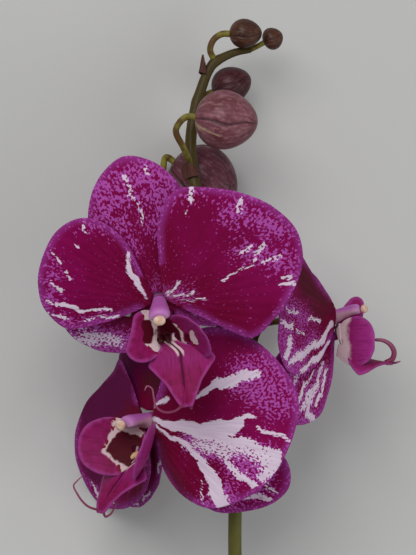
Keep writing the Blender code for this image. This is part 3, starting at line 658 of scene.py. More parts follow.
flower_leaf(
    "left", "sepal_left", -140, 9, 0,
    [
        (-6, 6), (-9.8, 14), (-10.5, 23), (-8.9, 32), (-6, 41), (-2, 49), (4, 54), (11, 52), (17, 44),
        (19, 33), (17, 20), (12, 11), (6, 4),
    ],
    arch=-2.0, cup=-1.0, wave=(0.4, 2, 0),
    flames=[(-8.5, 12, 0.6, -9.5, 20, 0.6), (-6.5, 33, 0.6, -4, 42, 0.6), (-1, 47, 0.6, 2, 51, 0.6)],
    net=[(6, 48, 4, 12, 44, 4)],
)
flower_leaf(
    "left", "sepal_right", 138, 40, -20,
    [
        (-4.8, 6), (-7, 17), (-9, 29), (-9, 42), (-4, 51), (4, 55), (12, 53), (20, 45), (25, 36),
        (23, 23), (14, 10), (6.5, 3.8),
    ],
    arch=0.0, cup=-1.0, wave=(0.4, 2, 0),
    flames=[(8.5, 45.5, 0.6, 7.5, 50, 0.8), (14, 41, 1.1, 12, 50, 1.1), (6, 42, 0.6, 6.5, 47, 0.6)],
    net=[(6, 44, 7, 18, 38, 6)],
)
flower_leaf(
    "left", "petal_left", -100, 4, 0,
    [
        (-9, 2), (-18, 6), (-26, 14), (-31, 26), (-32, 38), (-30, 47), (-24, 52.5), (-16.4, 53.5),
        (-8, 52.4), (-2.8, 49.1), (4.4, 41.9), (11.2, 31.5), (15.3, 21), (19.8, 10), (23.5, 3.5),
        (17, 1.2), (8, 0.5),
    ],
    arch=0.0, cup=-1.0, wave=(0.4, 2, 0),
    flames=[(-20, 48, 0.8, -26, 47, 1.2), (-26, 41, 0.7, -29, 38, 0.7)],
    net=[(-18, 50, 3, -28, 42, 4)],
    # Painted shade: plain purple where this petal lies in shade
    shade_purple=[(14, 6, 7, 6, 32, 9), (4, 30, 9, -14, 42, 8)],
)
flower_leaf(
    "left", "petal_right", 98, 33, -12,
    [
        (-9, 2), (-19, 6), (-28, 12), (-33, 21), (-31.5, 32), (-26, 42), (-18, 49.5), (-7, 54.5),
        (5, 52.5), (15, 47.8), (24, 41), (30.5, 30), (32.8, 18), (28, 9), (20, 3.5), (9, 1),
    ],
    arch=0.0, cup=-1.5, wave=(0.5, 3, 0.4),
    flames=[
        (0, 0, 0.8, 3, 12, 2.4), (3, 12, 2.4, 5, 22, 4), (5, 22, 4, 2, 32, 2.6),
        (0.5, 32, 1.4, -0.5, 38, 0.6), (1.5, 0, 0.5, 7.5, 9, 1.1), (7.5, 9, 1.1, 14, 17, 1.5),
        (15.5, 18, 1.9, 23, 21, 2.3),
        (23, 21, 2.4, 31, 24, 3), (13, 26, 1.2, 20, 30, 1.4), (20, 30, 1.4, 25, 36, 1.2),
        (3.5, 39, 0.7, 8, 49, 1.1), (8, 24, 3, 11, 34, 3.5), (11, 34, 3.5, 15, 44, 3.5),
        (21, 39, 2, 17.5, 43, 3), (8.5, 15, 1.6, 11.5, 26, 3.4),
        (-8, 17, 0.6, -12, 24, 1.9), (-12, 24, 1.9, -14.5, 33, 2.2), (-14.5, 33, 2.2, -16, 39, 1.6),
        (-3.5, -1, 0.6, -8.5, 6.5, 0.9), (22, 16.5, 0.5, 30.5, 17, 0.5),
    ],
    net=[
        (-14, 36, 9, -6, 46, 8), (8.5, 14, 3, 11, 29, 5), (11, 29, 5, 15, 37, 6),
        (-20, 43, 4.5, -10, 51, 4.5), (30, 18, 3, 30, 30, 3),
    ],
    # Painted shade: a dark maroon band where the lower margin curls away from the light
    dark=[(4, 0.5, 0.8, 15, 3.5, 2), (15, 3.5, 2, 29, 10, 2)],
    dotted=[
        (8.5, 14, 2.5, 12, 27, 4.5), (12, 27, 4, 15, 42, 5), (20, 30, 3, 19, 42, 4), (18, 26, 2, 28, 27, 2),
    ],
)
flower_leaf(
    "right", "sepal_top", 0, 22, 0,
    [
        (-6, 4), (-12, 12), (-15, 22), (-13.5, 33), (-8, 41.5), (0, 45), (8, 41.5), (13.5, 33),
        (14, 22), (11, 12), (6, 4),
    ],
    arch=-1.0, cup=-1.0, wave=(0.4, 2, 0.5),
    flames=[(0, 18, 0.6, -1, 34, 1.2)],
    net=[(-6, 36, 7, 6, 36, 7)],
)
flower_leaf(
    "right", "sepal_left", -143, 27, 25,
    [
        (-5.5, 4), (-11, 11), (-16.5, 22), (-18, 31), (-13, 39), (-4, 45.5), (5, 49), (11, 47),
        (15, 40), (15, 29), (11, 16), (5, 5),
    ],
    arch=-1.0, cup=-1.0, wave=(0.4, 2, 0),
    flames=[
        (-6, 15, 0.6, -10, 34, 1.8), (-9.5, 16.5, 0.6, -13.5, 29, 1.1), (-7, 22.5, 0.5, -7.5, 35.5, 1.0),
        (-11.5, 35, 1.6, -16, 33, 1.2), (-3, 20, 0.5, -4, 38, 0.9), (2, 22, 0.5, 2, 40, 1.0),
    ],
    net=[(-8, 18, 5, -9, 38, 8), (0, 20, 4, 6, 38, 8)],
)
flower_leaf(
    "right", "sepal_right", 143, 29, -25,
    [
        (-5, 5), (-11, 16), (-14, 28), (-12, 38), (-6, 44), (0, 45), (9, 41), (15, 32), (16, 22),
        (11, 11), (5.5, 4),
    ],
    arch=-1.0, cup=-1.0, wave=(0.4, 2, 0),
    flames=[(6, 16, 0.6, 10, 34, 1.6), (10, 17, 0.6, 13.5, 28, 1), (0, 20, 0.5, 0, 38, 1.1)],
    net=[(2, 36, 5, -8, 34, 5)],
)
flower_leaf(
    "right", "petal_left", -90, 27, -6,
    [
        (-8, 3), (-15, 11), (-20, 24), (-19, 32), (-14, 38.5), (-7, 41.5), (2, 41.5), (12, 40),
        (21, 35.5), (26, 29), (23.5, 23.5), (18, 17.5), (12.5, 11), (7, 4),
    ],
    arch=0.0, cup=-1.0, wave=(0.5, 2.5, 0),
    flames=[
        (-2.5, 2, 0.9, -8.5, 10.5, 1.5), (-8.5, 10.5, 1.5, -13, 26, 1.7), (-13, 26, 1.7, -15, 33, 1.2),
        (-10, 5.5, 0.9, -15, 14, 1.6), (-15, 14, 1.6, -18.5, 25, 1), (-0.5, 20, 0.7, -1, 11.5, 0.8),
        (0, 40, 0.9, -2, 31.5, 1.2), (-4.5, 29, 0.6, -5, 23, 0.6), (5, 36.5, 0.6, 2, 28.5, 0.7),
        (-6, 33, 1.5, -12, 36, 1.8),
    ],
    net=[(-3, 37, 7, -11, 33, 7), (-6, 16, 4, -15, 28, 8), (6, 36, 5, 0, 24, 6)],
    # Painted shade: dark maroon where this petal folds away from the light
    dark=[(3, 5, 2, 12, 20, 5), (12, 20, 5, 21, 27, 4), (1, 9, 2, 4, 18, 2)],
)
flower_leaf(
    "right", "petal_right", 93, 31, 6,
    [
        (-6.5, 4), (-13.5, 12), (-19, 20), (-21, 28), (-18, 35), (-11, 40.5), (0, 42.5), (8, 41.5),
        (15, 38), (19, 31), (19, 23), (14, 11), (8, 3),
    ],
    arch=0.0, cup=-1.0, wave=(0.5, 2.5, 0),
    flames=[(2, 4, 0.8, 8, 18, 2), (8, 18, 2, 11, 32, 1.6), (-2, 8, 0.6, -2, 24, 1.2)],
    net=[(-8, 34, 6, 8, 34, 7)],
)

# Columns and anther caps
# In the heart of each bloom stands the column, a waxy half-round bar of fused stamen and style with a
# sticky hollow under its tip. The cream anther cap sits on its end like a small hood.

# Orchid column, grown: firm, wax-like tissue with a soft shine, lilac on its back, pale rose on its flanks
column_skin, tree, shader = new_finish(
    "orchid column, firm waxy tissue", Roughness=0.4, Specular_IOR_Level=0.16
)
place = add(tree, "ShaderNodeAttribute", attribute_name="place").outputs["Vector"]
_, upright, along = add(tree, "ShaderNodeSeparateXYZ", {0: place}).outputs
cloud = add(tree, "ShaderNodeTexNoise", {"Vector": place, "Scale": 0.5, "Detail": 2.0})
back = add(tree, "ShaderNodeMath", {0: cloud, 1: 1.6, 2: upright}, operation="MULTIPLY_ADD")
colour = lay(tree, "a97b8e", "aa58a2", back, 0.6, 2.4, blend="SMOOTHSTEP")
colour = lay(tree, colour, "bd84ba", along, 8.0, 11.0, 0.0, 0.55)
end_finish(tree, shader, colour, cloud, 0.3, 0.0001)

# Anther cap, grown: smooth cream wax, yellower and rosier in patches
cap_skin, tree, shader = new_finish(
    "anther cap, cream wax-like tissue", Roughness=0.4, Specular_IOR_Level=0.3
)
here = add(tree, "ShaderNodeTexCoord").outputs["Object"]
cloud = add(tree, "ShaderNodeTexNoise", {"Vector": here, "Scale": 450.0, "Detail": 2.0})
feed(shader, {"Base Color": lay(tree, "c79f8a", "e6cfb4", cloud, 0.35, 0.65)})


def ring_faces(rings, sides):
    """Faces of a closed shape made of rings of points, with its two end caps."""
    faces = []
    for r in range(rings - 1):
        for k in range(sides):
            a = r * sides + k
            b = r * sides + (k + 1) % sides
            faces.append((a, b, b + sides, a + sides))
    faces.append(tuple(range(sides - 1, -1, -1)))
    faces.append(tuple((rings - 1) * sides + k for k in range(sides)))
    return faces


# Along the column: the distance, half the width, the height of the back and the depth of the belly
COLUMN_SECTIONS = [
    (0.0, 2.3, 2.1, 3.3), (1.8, 2.6, 2.2, 3.1), (4.0, 3.0, 2.5, 2.3), (6.5, 3.5, 2.8, 1.9),
    (8.8, 3.8, 3.0, 1.7), (10.2, 3.6, 2.8, 1.4), (11.0, 2.7, 2.1, 1.0),
]
# Half the cap's width, height and length, and where its middle sits above and along the column
CAP_HALF, CAP_SEAT = (2.15, 1.85, 1.6), (0.2, 12.6)


def column(bloom, bend, size):
    """A bloom's column, bent up by so many degrees, and the anther cap on its end."""
    rings, sides = 44, 40
    points = []
    for at, wide, back, belly in through(COLUMN_SECTIONS, rings):
        for k in range(sides):
            a = 2 * pi * k / sides
            # The sticky hollow is 8 mm along
            hollow = np.exp(-(((at - 8.0) / 1.5) ** 2 + (wide * cos(a) / 1.6) ** 2))
            height = back * sin(a) if sin(a) > 0 else (belly - hollow) * sin(a)
            points.append((wide * cos(a) * size, height * size, at * size))
    basis = blooms[bloom] @ Matrix.Translation(Vector((0, 0, 0.4))) @ Matrix.Rotation(radians(bend), 4, "X")
    name = f"{bloom}_column"
    marks = {"place": np.array(points) / size}
    seat(name, points, ring_faces(rings, sides), column_skin, name, marks, basis)
    rings = 22
    points = []
    for r in range(rings):
        a = pi * (r + 0.5) / rings
        for k in range(sides):
            b = 2 * pi * k / sides
            # A shallow groove parts the cap's two halves
            groove = 1 - 0.14 * np.exp(-((cos(b) / 0.22) ** 2)) * (sin(b) < 0)
            across = size * sin(a) * groove
            wide, high, long = CAP_HALF
            points.append((wide * across * cos(b), high * across * sin(b), -long * size * cos(a)))
    seated = basis @ Matrix.Translation(Vector((0, CAP_SEAT[0], CAP_SEAT[1] * size + 0.3)))
    name = f"{bloom}_anther_cap"
    seat(name, points, ring_faces(rings, sides), cap_skin, name, {}, seated)


column("front", 8, 1.0)
column("left", -6, 1.05)
column("right", -3, 0.88)

# Lips
# The lip is the third petal turned into a landing place: a narrow claw, two ears that stand up beside the
# column, a callus of two knobs between them, and an arrow-shaped middle lobe that ends in tendrils.

# The lip's half width at distances along its middle line: claw, waist, corners and tip
LIP_WIDTHS = [
    (0, 2.0), (4, 3.4), (8, 3.8), (10.5, 3.2), (12, 4.2), (14.5, 8.5), (17.5, 12.0), (21, 10.2),
    (26, 6.6), (31, 4.2), (35, 2.0),
]
# The outline of an ear, which starts and ends below its root
EAR = [
    (-5, -2.5), (-8.5, 3), (-9.5, 9.5), (-6.5, 15), (0, 17), (6.5, 15), (9.5, 9.5), (8.5, 3),
    (5, -2.5),
]
# The front bloom's ear on the left as it is looked at is folded away above, so its outline is hollow there
FOLDED_EAR = [
    (-5, -2.5), (-8.5, 3), (-9.5, 9.5), (-7.5, 14.5), (-3.5, 16.5), (0.5, 13.5), (4.5, 11), (8.5, 8.5),
    (9, 3), (5, -2.5),
]

# Lip tissue, grown: thicker and a little glossier than the petals, crimson with a violet rim; near white at
# the throat, with blotches and dots of dark red about 1 mm across. Lighter violet on the middle lobe's broad
# shoulders is a painted highlight
lip_skin, tree, shader = new_finish("orchid lip, fleshy tissue", Roughness=0.45, Specular_IOR_Level=0.05)
place, tone, tint = (
    add(tree, "ShaderNodeAttribute", attribute_name=mark).outputs["Vector"]
    for mark in ("place", "tone", "tint")
)
pale, rim, middle = add(tree, "ShaderNodeSeparateXYZ", {0: tone}).outputs
violet, throat, spotted = add(tree, "ShaderNodeSeparateXYZ", {0: tint}).outputs
grain = add(tree, "ShaderNodeTexNoise", {"Vector": place, "Scale": 0.45, "Detail": 3.0})
dots = add(tree, "ShaderNodeTexNoise", {"Vector": place, "Scale": 0.5, "Detail": 1.0})
runs = add(tree, "ShaderNodeVectorMath", {0: place, 1: (1.6, 0.14, 1.0)}, operation="MULTIPLY")
veins = add(tree, "ShaderNodeTexNoise", {"Vector": runs, "Scale": 1.0, "Detail": 1.0})
colour = lay(tree, "700a32", "84104c", grain, 0.35, 0.65)
# Violet: the ears' own tint towards their tips and a faint tint on the lobe, with a painted highlight across
# the middle lobe's broad shoulders
colour = add(tree, "ShaderNodeMix", {0: violet, 6: colour, 7: linear("962a76")}, data_type="RGBA")
colour = lay(tree, colour, "520a2c", veins, 0.56, 0.66, 0.0, 0.35)
band = add(tree, "ShaderNodeMath", {0: grain, 1: -1.6, 2: rim}, operation="MULTIPLY_ADD")
colour = lay(tree, colour, "a14a96", band, 0.9, -0.5, 0.0, 0.45, "SMOOTHSTEP")
bare = add(tree, "ShaderNodeMath", {0: grain, 1: 0.4, 2: pale}, operation="MULTIPLY_ADD")
colour = lay(tree, colour, "cbb0b4", bare, 0.55, 0.85, blend="SMOOTHSTEP")
speck = add(tree, "ShaderNodeMath", {0: spotted, 1: 0.3, 2: dots}, operation="MULTIPLY_ADD")
colour = lay(tree, colour, "74132a", speck, 0.79, 0.83)
throat = add(tree, "ShaderNodeMath", {0: grain, 1: 0.9, 2: throat}, operation="MULTIPLY_ADD")
colour = lay(tree, colour, "4a0718", throat, 0.8, 1.1)
colour = lay(tree, colour, "31081a", middle, 0.25, 0.75, 0.85, 0.0)
relief = add(tree, "ShaderNodeMath", {0: veins, 1: dots}, operation="ADD")
end_finish(tree, shader, colour, relief, 0.4)


def callus_finish(name, ground, fleck, start):
    """Callus, grown: a hard glossy boss of tissue, flecked in spots about 0.8 mm across."""
    finish, tree, shader = new_finish(name, Roughness=0.4, Specular_IOR_Level=0.15)
    here = add(tree, "ShaderNodeTexCoord").outputs["Object"]
    cells = add(tree, "ShaderNodeTexNoise", {"Vector": here, "Scale": 900.0, "Detail": 1.0})
    feed(shader, {"Base Color": lay(tree, ground, fleck, cells, start, start + 0.06)})
    return finish


dark_callus = callus_finish("lip callus, hard dark brown tissue", "330c12", "a8802c", 0.68)
pale_callus = callus_finish("lip callus, hard cream-yellow tissue", "c8a27a", "6a2a24", 0.62)

# Tendril, grown: a thin crimson thread of the lip's own tissue, smooth, paler at its curled end
tendril_skin, tree, shader = new_finish(
    "lip tendril, thin smooth tissue", Roughness=0.4, Specular_IOR_Level=0.25
)
share = add(tree, "ShaderNodeAttribute", attribute_name="share").outputs["Fac"]
colour = add(tree, "ShaderNodeMix", {0: share, 6: linear("6a0f3a"), 7: linear("93506e")}, data_type="RGBA")
feed(shader, {"Base Color": colour})


# How far a lip's claw is from the middle of its bloom, and how much its outlines are drawn in
LIP_RING, LIP_DRAWN_IN = 3.9, 0.985
# Where the lobe and the ears read the lip's patterns, each on a level of its own
LOBE_LEVEL, EAR_LEVEL = 3.0, 5
# A radian of heading counts as this many millimetres along the lip's middle line
TURN_WEIGHT = 10
# How far from the dark stripe an ear counts as being, so that the stripe stays off it
OFF_STRIPE = 9
SIDES = {1: "right", -1: "left"}
# The right callus knob's middle line, and its half thickness along it; then a tendril's, as a share
KNOB_LINE = [(1.1, 9.0, -1.2), (1.2, 9.4, 1.0), (1.4, 10.4, 2.6), (1.3, 11.4, 3.4)]
KNOB_HALVES = [0, 0.33, 0.66, 0.9, 1], [1.3, 1.5, 1.2, 0.7, 0.2]
TENDRIL_HALVES = [0, 0.5, 0.95, 1], [1, 0.85, 0.55, 0.2]


def lip_line(claw, bend, droop, sway, reach):
    """The middle line of the lip: straight along the claw, then turned forward by bend at the waist."""
    line = []
    spot = np.zeros(2)
    last = 0.0
    for mark, half in through(LIP_WIDTHS, 14):
        along = min(mark, 21.0) + max(0.0, mark - 21.0) * reach
        turn = min(1.0, max(0.0, (along - claw) / 8))
        turned = 3 * turn**2 - 2 * turn**3
        heading = radians(bend) * turned - radians(droop) * max(0.0, (along - 22) / 14) ** 2
        spot = spot + (along - last) * np.array([cos(heading), sin(heading)])
        last = along
        line.append((half, -sway * turned, spot[0], spot[1], heading * TURN_WEIGHT, mark))
    return np.array(line)


def lip_ear(
    bloom, basis, sign, spread, turn, rise, wide, tall, root, bow,
    violet, whites, blots, softness, outline=EAR,
):
    """One of the two ears: its stance and size, then its tint, its white and dark red strokes."""
    edge = through(outline, 61)[::-1] * LIP_DRAWN_IN
    rows = 34
    share = np.linspace(0.12, 1, rows)[:, None]
    x, y = share * edge[:, 0], share * edge[:, 1]
    rim = np.full(x.shape, 1e9)
    for px, py in edge:
        rim = np.minimum(rim, np.hypot((x - px) * wide, (y - py) * tall))
    z = bow * (y * tall / 22) ** 2 + (x * wide / 9) ** 2 + 0.15 * share**5 * np.sin(y * 1.1 + x)
    tip = Vector((sign * sin(radians(spread)), rise, cos(radians(spread)))).normalized()
    inward = Vector((-sign * cos(radians(spread)), 0.1, sin(radians(spread))))
    inward = (inward - tip * inward.dot(tip)).normalized()
    axes = Matrix((tip.cross(inward), tip, inward)).transposed()
    axes = Matrix.Rotation(radians(turn * sign), 3, tip) @ axes
    foot = Matrix.Translation(Vector((sign * root[0], root[1], root[2]))) @ axes.to_4x4()
    thickness = 0.4 + 0.35 * np.clip(rim / 2.0, 0, 1)
    pale, blot = brushed(x, y, whites, softness), brushed(x, y, blots, 1.6)
    # Dots gather where the white shades off, unless it does so over more than 5 mm
    dotted = 4 * pale * (1 - pale) * (softness < 5)
    marks = {
        "place": layers(x * wide, y * tall, sign * EAR_LEVEL),
        "tone": layers(pale, rim, OFF_STRIPE),
        "tint": layers(violet * np.clip(y / 12, 0, 1), blot, dotted),
    }
    node = f"{bloom}_lip"
    middle = layers(x * wide, y * tall, z)
    seat_blade(f"{node}_{SIDES[sign]}_ear", middle, thickness, lip_skin, node, marks, basis @ foot)


def lip(bloom, size, tilt, level, claw, bend, droop, sway, keel, reach, ears, curls, callus, throat):
    """The lip of one bloom: claw and middle lobe, two ears, two callus knobs and two tendrils."""
    basis = blooms[bloom] @ leaf_basis(180, -tilt, 0, LIP_RING * size, level)
    coarse = lip_line(claw, bend, droop, sway, reach)
    rows, columns = 72, 41
    middle, place, tone, tint = np.zeros((4, rows, columns, 3))
    for r, (half, aside, up, out, heading, along) in enumerate(through(coarse, rows)):
        heading /= TURN_WEIGHT
        half *= LIP_DRAWN_IN
        for c, u in enumerate(np.linspace(1, -1, columns)):
            trough = 0.35 * np.exp(-((u * half / 0.8) ** 2))
            fall = keel * max(0.0, half - 3.8) ** 1.2 * u**2 + trough
            middle[r, c] = (u * half + aside, up + fall * sin(heading), out - fall * cos(heading))
            place[r, c] = (u * half, along, LOBE_LEVEL)
            # A pale band runs down beside the dark middle line
            beside = np.exp(-(((abs(u * half) - 1.0) / 0.7) ** 2)) * np.clip((20 - along) / 5, 0, 1)
            tone[r, c] = (
                max(np.clip(0.5 - (along - 10.5) / 4, 0, 1), 0.8 * beside),
                min(half * (1 - abs(u)), 35 - along),
                max(abs(u * half), 12 - along) + 0.06 * max(0.0, along - 26) ** 1.5,
            )
            # Painted highlight: lighter violet across the middle lobe where it is broadest, about 17 mm along
            shoulder_highlight = np.exp(-(((along - 17) / 4.5) ** 2))
            tint[r, c] = (
                0.15 + 0.45 * shoulder_highlight,
                throat * np.clip(1.3 - abs(u) - max(0.0, along - 9) / 3, 0, 1),
                0.4 if along < 11 else 0.0,
            )
    thickness = 0.5 + 0.35 * np.clip(tone[:, :, 1] / 2.5, 0, 1)
    node = f"{bloom}_lip"
    marks = {"place": place, "tone": tone, "tint": tint}
    seat_blade(node, middle, thickness, lip_skin, node, marks, basis)
    for sign, ear in zip((1, -1), ears):
        lip_ear(bloom, basis, sign, *ear)
        path = [basis @ Vector((sign * x, y, z)) for x, y, z in through(KNOB_LINE, 30)]
        radii = np.interp(np.linspace(0, 1, len(path)), *KNOB_HALVES)
        bar(f"{bloom}_callus_{SIDES[sign]}", path, radii, 20, callus, node)
    _, aside, up, out, heading, _ = coarse[-1]
    heading /= TURN_WEIGHT
    end = np.array([aside, up, out])
    ahead = np.array([0, cos(heading), sin(heading)])
    above = np.array([0, -sin(heading), cos(heading)])
    for i, (thick, curl) in enumerate(curls):
        path = through([end + (x, 0, 0) + ahead * y + above * z for x, y, z in curl], 60)
        path = [basis @ Vector(p) for p in path]
        radii = thick * np.interp(np.linspace(0, 1, len(path)), *TENDRIL_HALVES)
        bar(f"{bloom}_tendril_{i + 1}", path, radii, 12, tendril_skin, node)


SHORT_CURL = (0.45, [(-1, -1, 0), (-1.3, 0.6, -1.6), (-1.6, -1, -3.2), (-1.5, -4, -4), (-1.3, -7, -3.8)])
lip(
    "front", 1.0, 33, 1.7, 8, 14, 22, 5.0, 0.12, 1.0,
    [
        (
            56, 0, 0.2, 0.95, 0.93, (2.0, 6.6, -0.3), 3.0, 0.3,
            [(8, 0, 5, -2, 1.5, 5.5), (-2, 1.5, 5.5, -6, 0, 3)], [(3.2, 4.6, 2.6, -1.5, 4.8, 2.4)], 1.6,
            FOLDED_EAR,
        ),
        (
            62, -34, 0.08, 1.0, 1.0, (3.1, 8.4, -0.3), 9.0, 0.5,
            [(-4, 3.4, 1.4, 6, 3.4, 1.5), (-1, 9.2, 1.7, 2.5, 9.4, 1.9)],
            [(-7, 0, 3, 1, 0.5, 3), (0, 6.4, 1.3, 1.5, 6.4, 1.3)], 1.6,
        ),
    ],
    [
        (
            0.45,
            [
                (1, -1, 0), (4.5, 0.8, 1), (8, 0.6, 2), (10.3, -1.5, 3), (10.6, -5, 4),
                (10.9, -8.2, 5), (12.2, -9, 5.6), (13.2, -7.6, 6),
            ],
        ),
        SHORT_CURL,
    ],
    dark_callus, 1.0,
)
lip(
    "left", 1.05, 33, 2.3, 8, 27, 22, -4.0, 0.12, 1.0,
    [
        (
            46, 0, 0.12, 1.12, 1.36, (1.8, 7.0, -0.3), 1.0, 0.3,
            [(5.5, 4, 4.5, 0, 5.5, 4.6), (0, 5.5, 4.6, -6, 2.5, 3)],
            [(4, 5, 1.6, 0, 6, 3), (0, 6, 3, -3.5, 4.5, 2.2), (2, 2, 3, -3, 2, 3)], 2.4,
        ),
        (
            58, 12, 0.12, 1.12, 1.1, (2.6, 8.2, -0.3), 8.0, 0.8,
            [(-4, 1, 2, 6, 1, 2)], [], 3.0,
        ),
    ],
    [
        (0.45, [(1, -1, 0), (4, -1, 3), (7, -4, 7.5), (8, -6.5, 9.5), (7, -8, 9.5), (5.5, -10.5, 9)]),
        SHORT_CURL,
    ],
    pale_callus, 1.0,
)
lip(
    "right", 0.88, -1, 2.0, 8.0, 72, -30, 0.0, 0.48, 0.58,
    [
        (
            45, 0, 0.0, 0.98, 0.92, (2.6, 6.9, -0.5), 7.0, 1.0,
            [(8, 1, 4, 0, 0.5, 5), (0, 0.5, 5, -8, 0, 5)], [], 9.0,
        ),
        (30, 10, -1.45, 0.46, 1.05, (3.2, 5.6, -0.3), -1.5, 0.4, [], [], 3.0),
    ],
    [
        (
            1.1,
            [
                (1, -2.6, 0), (1.2, -0.2, 1.8), (1.4, 0.2, 4), (1.4, -1.6, 7), (1.2, -4.2, 8.2),
                (1, -7.6, 8.2),
            ],
        ),
        (0.5, [(-1, -1, 0), (-0.8, 1, 0.3), (-0.5, 2.8, 1)]),
    ],
    pale_callus, 0.6,
)

# Buds
# Five closed flowers: egg-shaped, fleshy, each wrapped by three sepals whose edges lap over in seams. The
# larger ones are mauve-brown streaked with cream-green, the youngest are dark brown.

# The share of a bud's line that lies outside the egg at either end
BUD_END = 0.5 / 9
# One tree grows a bud from a grid: rings along the egg, three lapped seams round it, closed at both poles
bud_tree, BUD_KEYS, given = new_tree(
    "bud of three closed sepals", Base="Geometry", Length="Float", Width="Float", Depth="Float",
    Seam="Float", Turn="Float", Finish="Material",
)
grid = add(
    bud_tree, "GeometryNodeMeshGrid", {"Size X": 1.0, "Size Y": 1.0, "Vertices X": 145, "Vertices Y": 61}
)
position = add(bud_tree, "GeometryNodeInputPosition")
across, upwards, _ = add(bud_tree, "ShaderNodeSeparateXYZ", {0: position}).outputs
around = add(bud_tree, "ShaderNodeMath", {0: across, 1: 2 * pi}, operation="MULTIPLY")
along = add(bud_tree, "ShaderNodeMath", {0: upwards, 1: 0.5}, operation="ADD")
# Rings crowd together near both poles, so the ends come out round
crowded = add(bud_tree, "ShaderNodeMath", {0: along, 1: pi}, operation="MULTIPLY")
crowded = add(bud_tree, "ShaderNodeMath", {0: crowded}, operation="COSINE")
crowded = add(bud_tree, "ShaderNodeMath", {0: crowded, 1: -0.5, 2: 0.5}, operation="MULTIPLY_ADD")
egg_share = {0: crowded, 1: 1 - 2 * BUD_END, 2: BUD_END}
stretched = add(bud_tree, "ShaderNodeMath", egg_share, operation="MULTIPLY_ADD")
fuller = add(bud_tree, "ShaderNodeMath", {0: crowded, 1: 0.85}, operation="POWER")
fuller = add(bud_tree, "ShaderNodeMath", {0: fuller, 1: pi}, operation="MULTIPLY")
fuller = add(bud_tree, "ShaderNodeMath", {0: fuller}, operation="SINE")
fuller = add(bud_tree, "ShaderNodeMath", {0: fuller, 1: 0.0}, operation="MAXIMUM")
fullness = add(bud_tree, "ShaderNodeMath", {0: fuller, 1: 0.5}, operation="POWER")
# How far each point is from its nearest seam, in sepals, along a seam that wanders a little
wander = add(bud_tree, "ShaderNodeMath", {0: crowded, 1: 9.0}, operation="MULTIPLY")
wander = add(bud_tree, "ShaderNodeMath", {0: wander}, operation="SINE")
sepals = add(bud_tree, "ShaderNodeMath", {0: across, 1: 3.0, 2: given["Turn"]}, operation="MULTIPLY_ADD")
sepals = add(bud_tree, "ShaderNodeMath", {0: wander, 1: 0.03, 2: sepals}, operation="MULTIPLY_ADD")
off_seam = add(bud_tree, "ShaderNodeMath", {0: sepals, 1: 0.5, 2: -0.5}, operation="WRAP")
near = add(bud_tree, "ShaderNodeMath", {0: off_seam}, operation="ABSOLUTE")
groove = add(
    bud_tree, "ShaderNodeMapRange", {0: near, 1: 0.0, 2: 0.06, 3: 1.0, 4: 0.0},
    interpolation_type="SMOOTHSTEP",
)
lap = add(bud_tree, "ShaderNodeMapRange", {0: off_seam, 1: 0.04, 2: 0.3, 3: 0.4, 4: 0.0})
on_lap = add(bud_tree, "ShaderNodeMath", {0: off_seam, 1: 0.0}, operation="GREATER_THAN")
lap = add(bud_tree, "ShaderNodeMath", {0: lap, 1: on_lap}, operation="MULTIPLY")
dent = add(bud_tree, "ShaderNodeMath", {0: groove, 1: lap}, operation="SUBTRACT")
dent = add(bud_tree, "ShaderNodeMath", {0: dent, 1: given["Seam"]}, operation="MULTIPLY")
dent = add(bud_tree, "ShaderNodeMath", {0: dent, 1: fullness}, operation="MULTIPLY")
dent = add(bud_tree, "ShaderNodeMath", {0: 1.0, 1: dent}, operation="SUBTRACT")
reach = add(bud_tree, "ShaderNodeMath", {0: fullness, 1: dent}, operation="MULTIPLY")
x = add(bud_tree, "ShaderNodeMath", {0: around}, operation="COSINE")
y = add(bud_tree, "ShaderNodeMath", {0: around}, operation="SINE")
# Streaks of the skin run lengthwise, so its pattern is read in a shortened space
run = add(bud_tree, "ShaderNodeMath", {0: crowded, 1: 0.7}, operation="MULTIPLY")
run = add(bud_tree, "ShaderNodeCombineXYZ", {0: x, 1: y, 2: run})
x = add(bud_tree, "ShaderNodeMath", {0: x, 1: reach}, operation="MULTIPLY")
x = add(bud_tree, "ShaderNodeMath", {0: x, 1: given["Width"]}, operation="MULTIPLY")
y = add(bud_tree, "ShaderNodeMath", {0: y, 1: reach}, operation="MULTIPLY")
y = add(bud_tree, "ShaderNodeMath", {0: y, 1: given["Depth"]}, operation="MULTIPLY")
z = add(bud_tree, "ShaderNodeMath", {0: stretched, 1: given["Length"]}, operation="MULTIPLY")
skin_place = add(bud_tree, "ShaderNodeCombineXYZ", {0: groove, 1: crowded, 2: off_seam})
marked = grid
for key, value in (("skin_place", skin_place), ("skin_run", run)):
    stored = {"Geometry": marked, "Name": key, "Value": value}
    marked = add(bud_tree, "GeometryNodeStoreNamedAttribute", stored, data_type="FLOAT_VECTOR")
egg_place = add(bud_tree, "ShaderNodeCombineXYZ", {0: x, 1: y, 2: z})
egg = add(bud_tree, "GeometryNodeSetPosition", {0: marked, "Position": egg_place})
closed = add(bud_tree, "GeometryNodeMergeByDistance", {0: egg, "Distance": 0.00002})
end_tree(bud_tree, closed, given["Finish"])


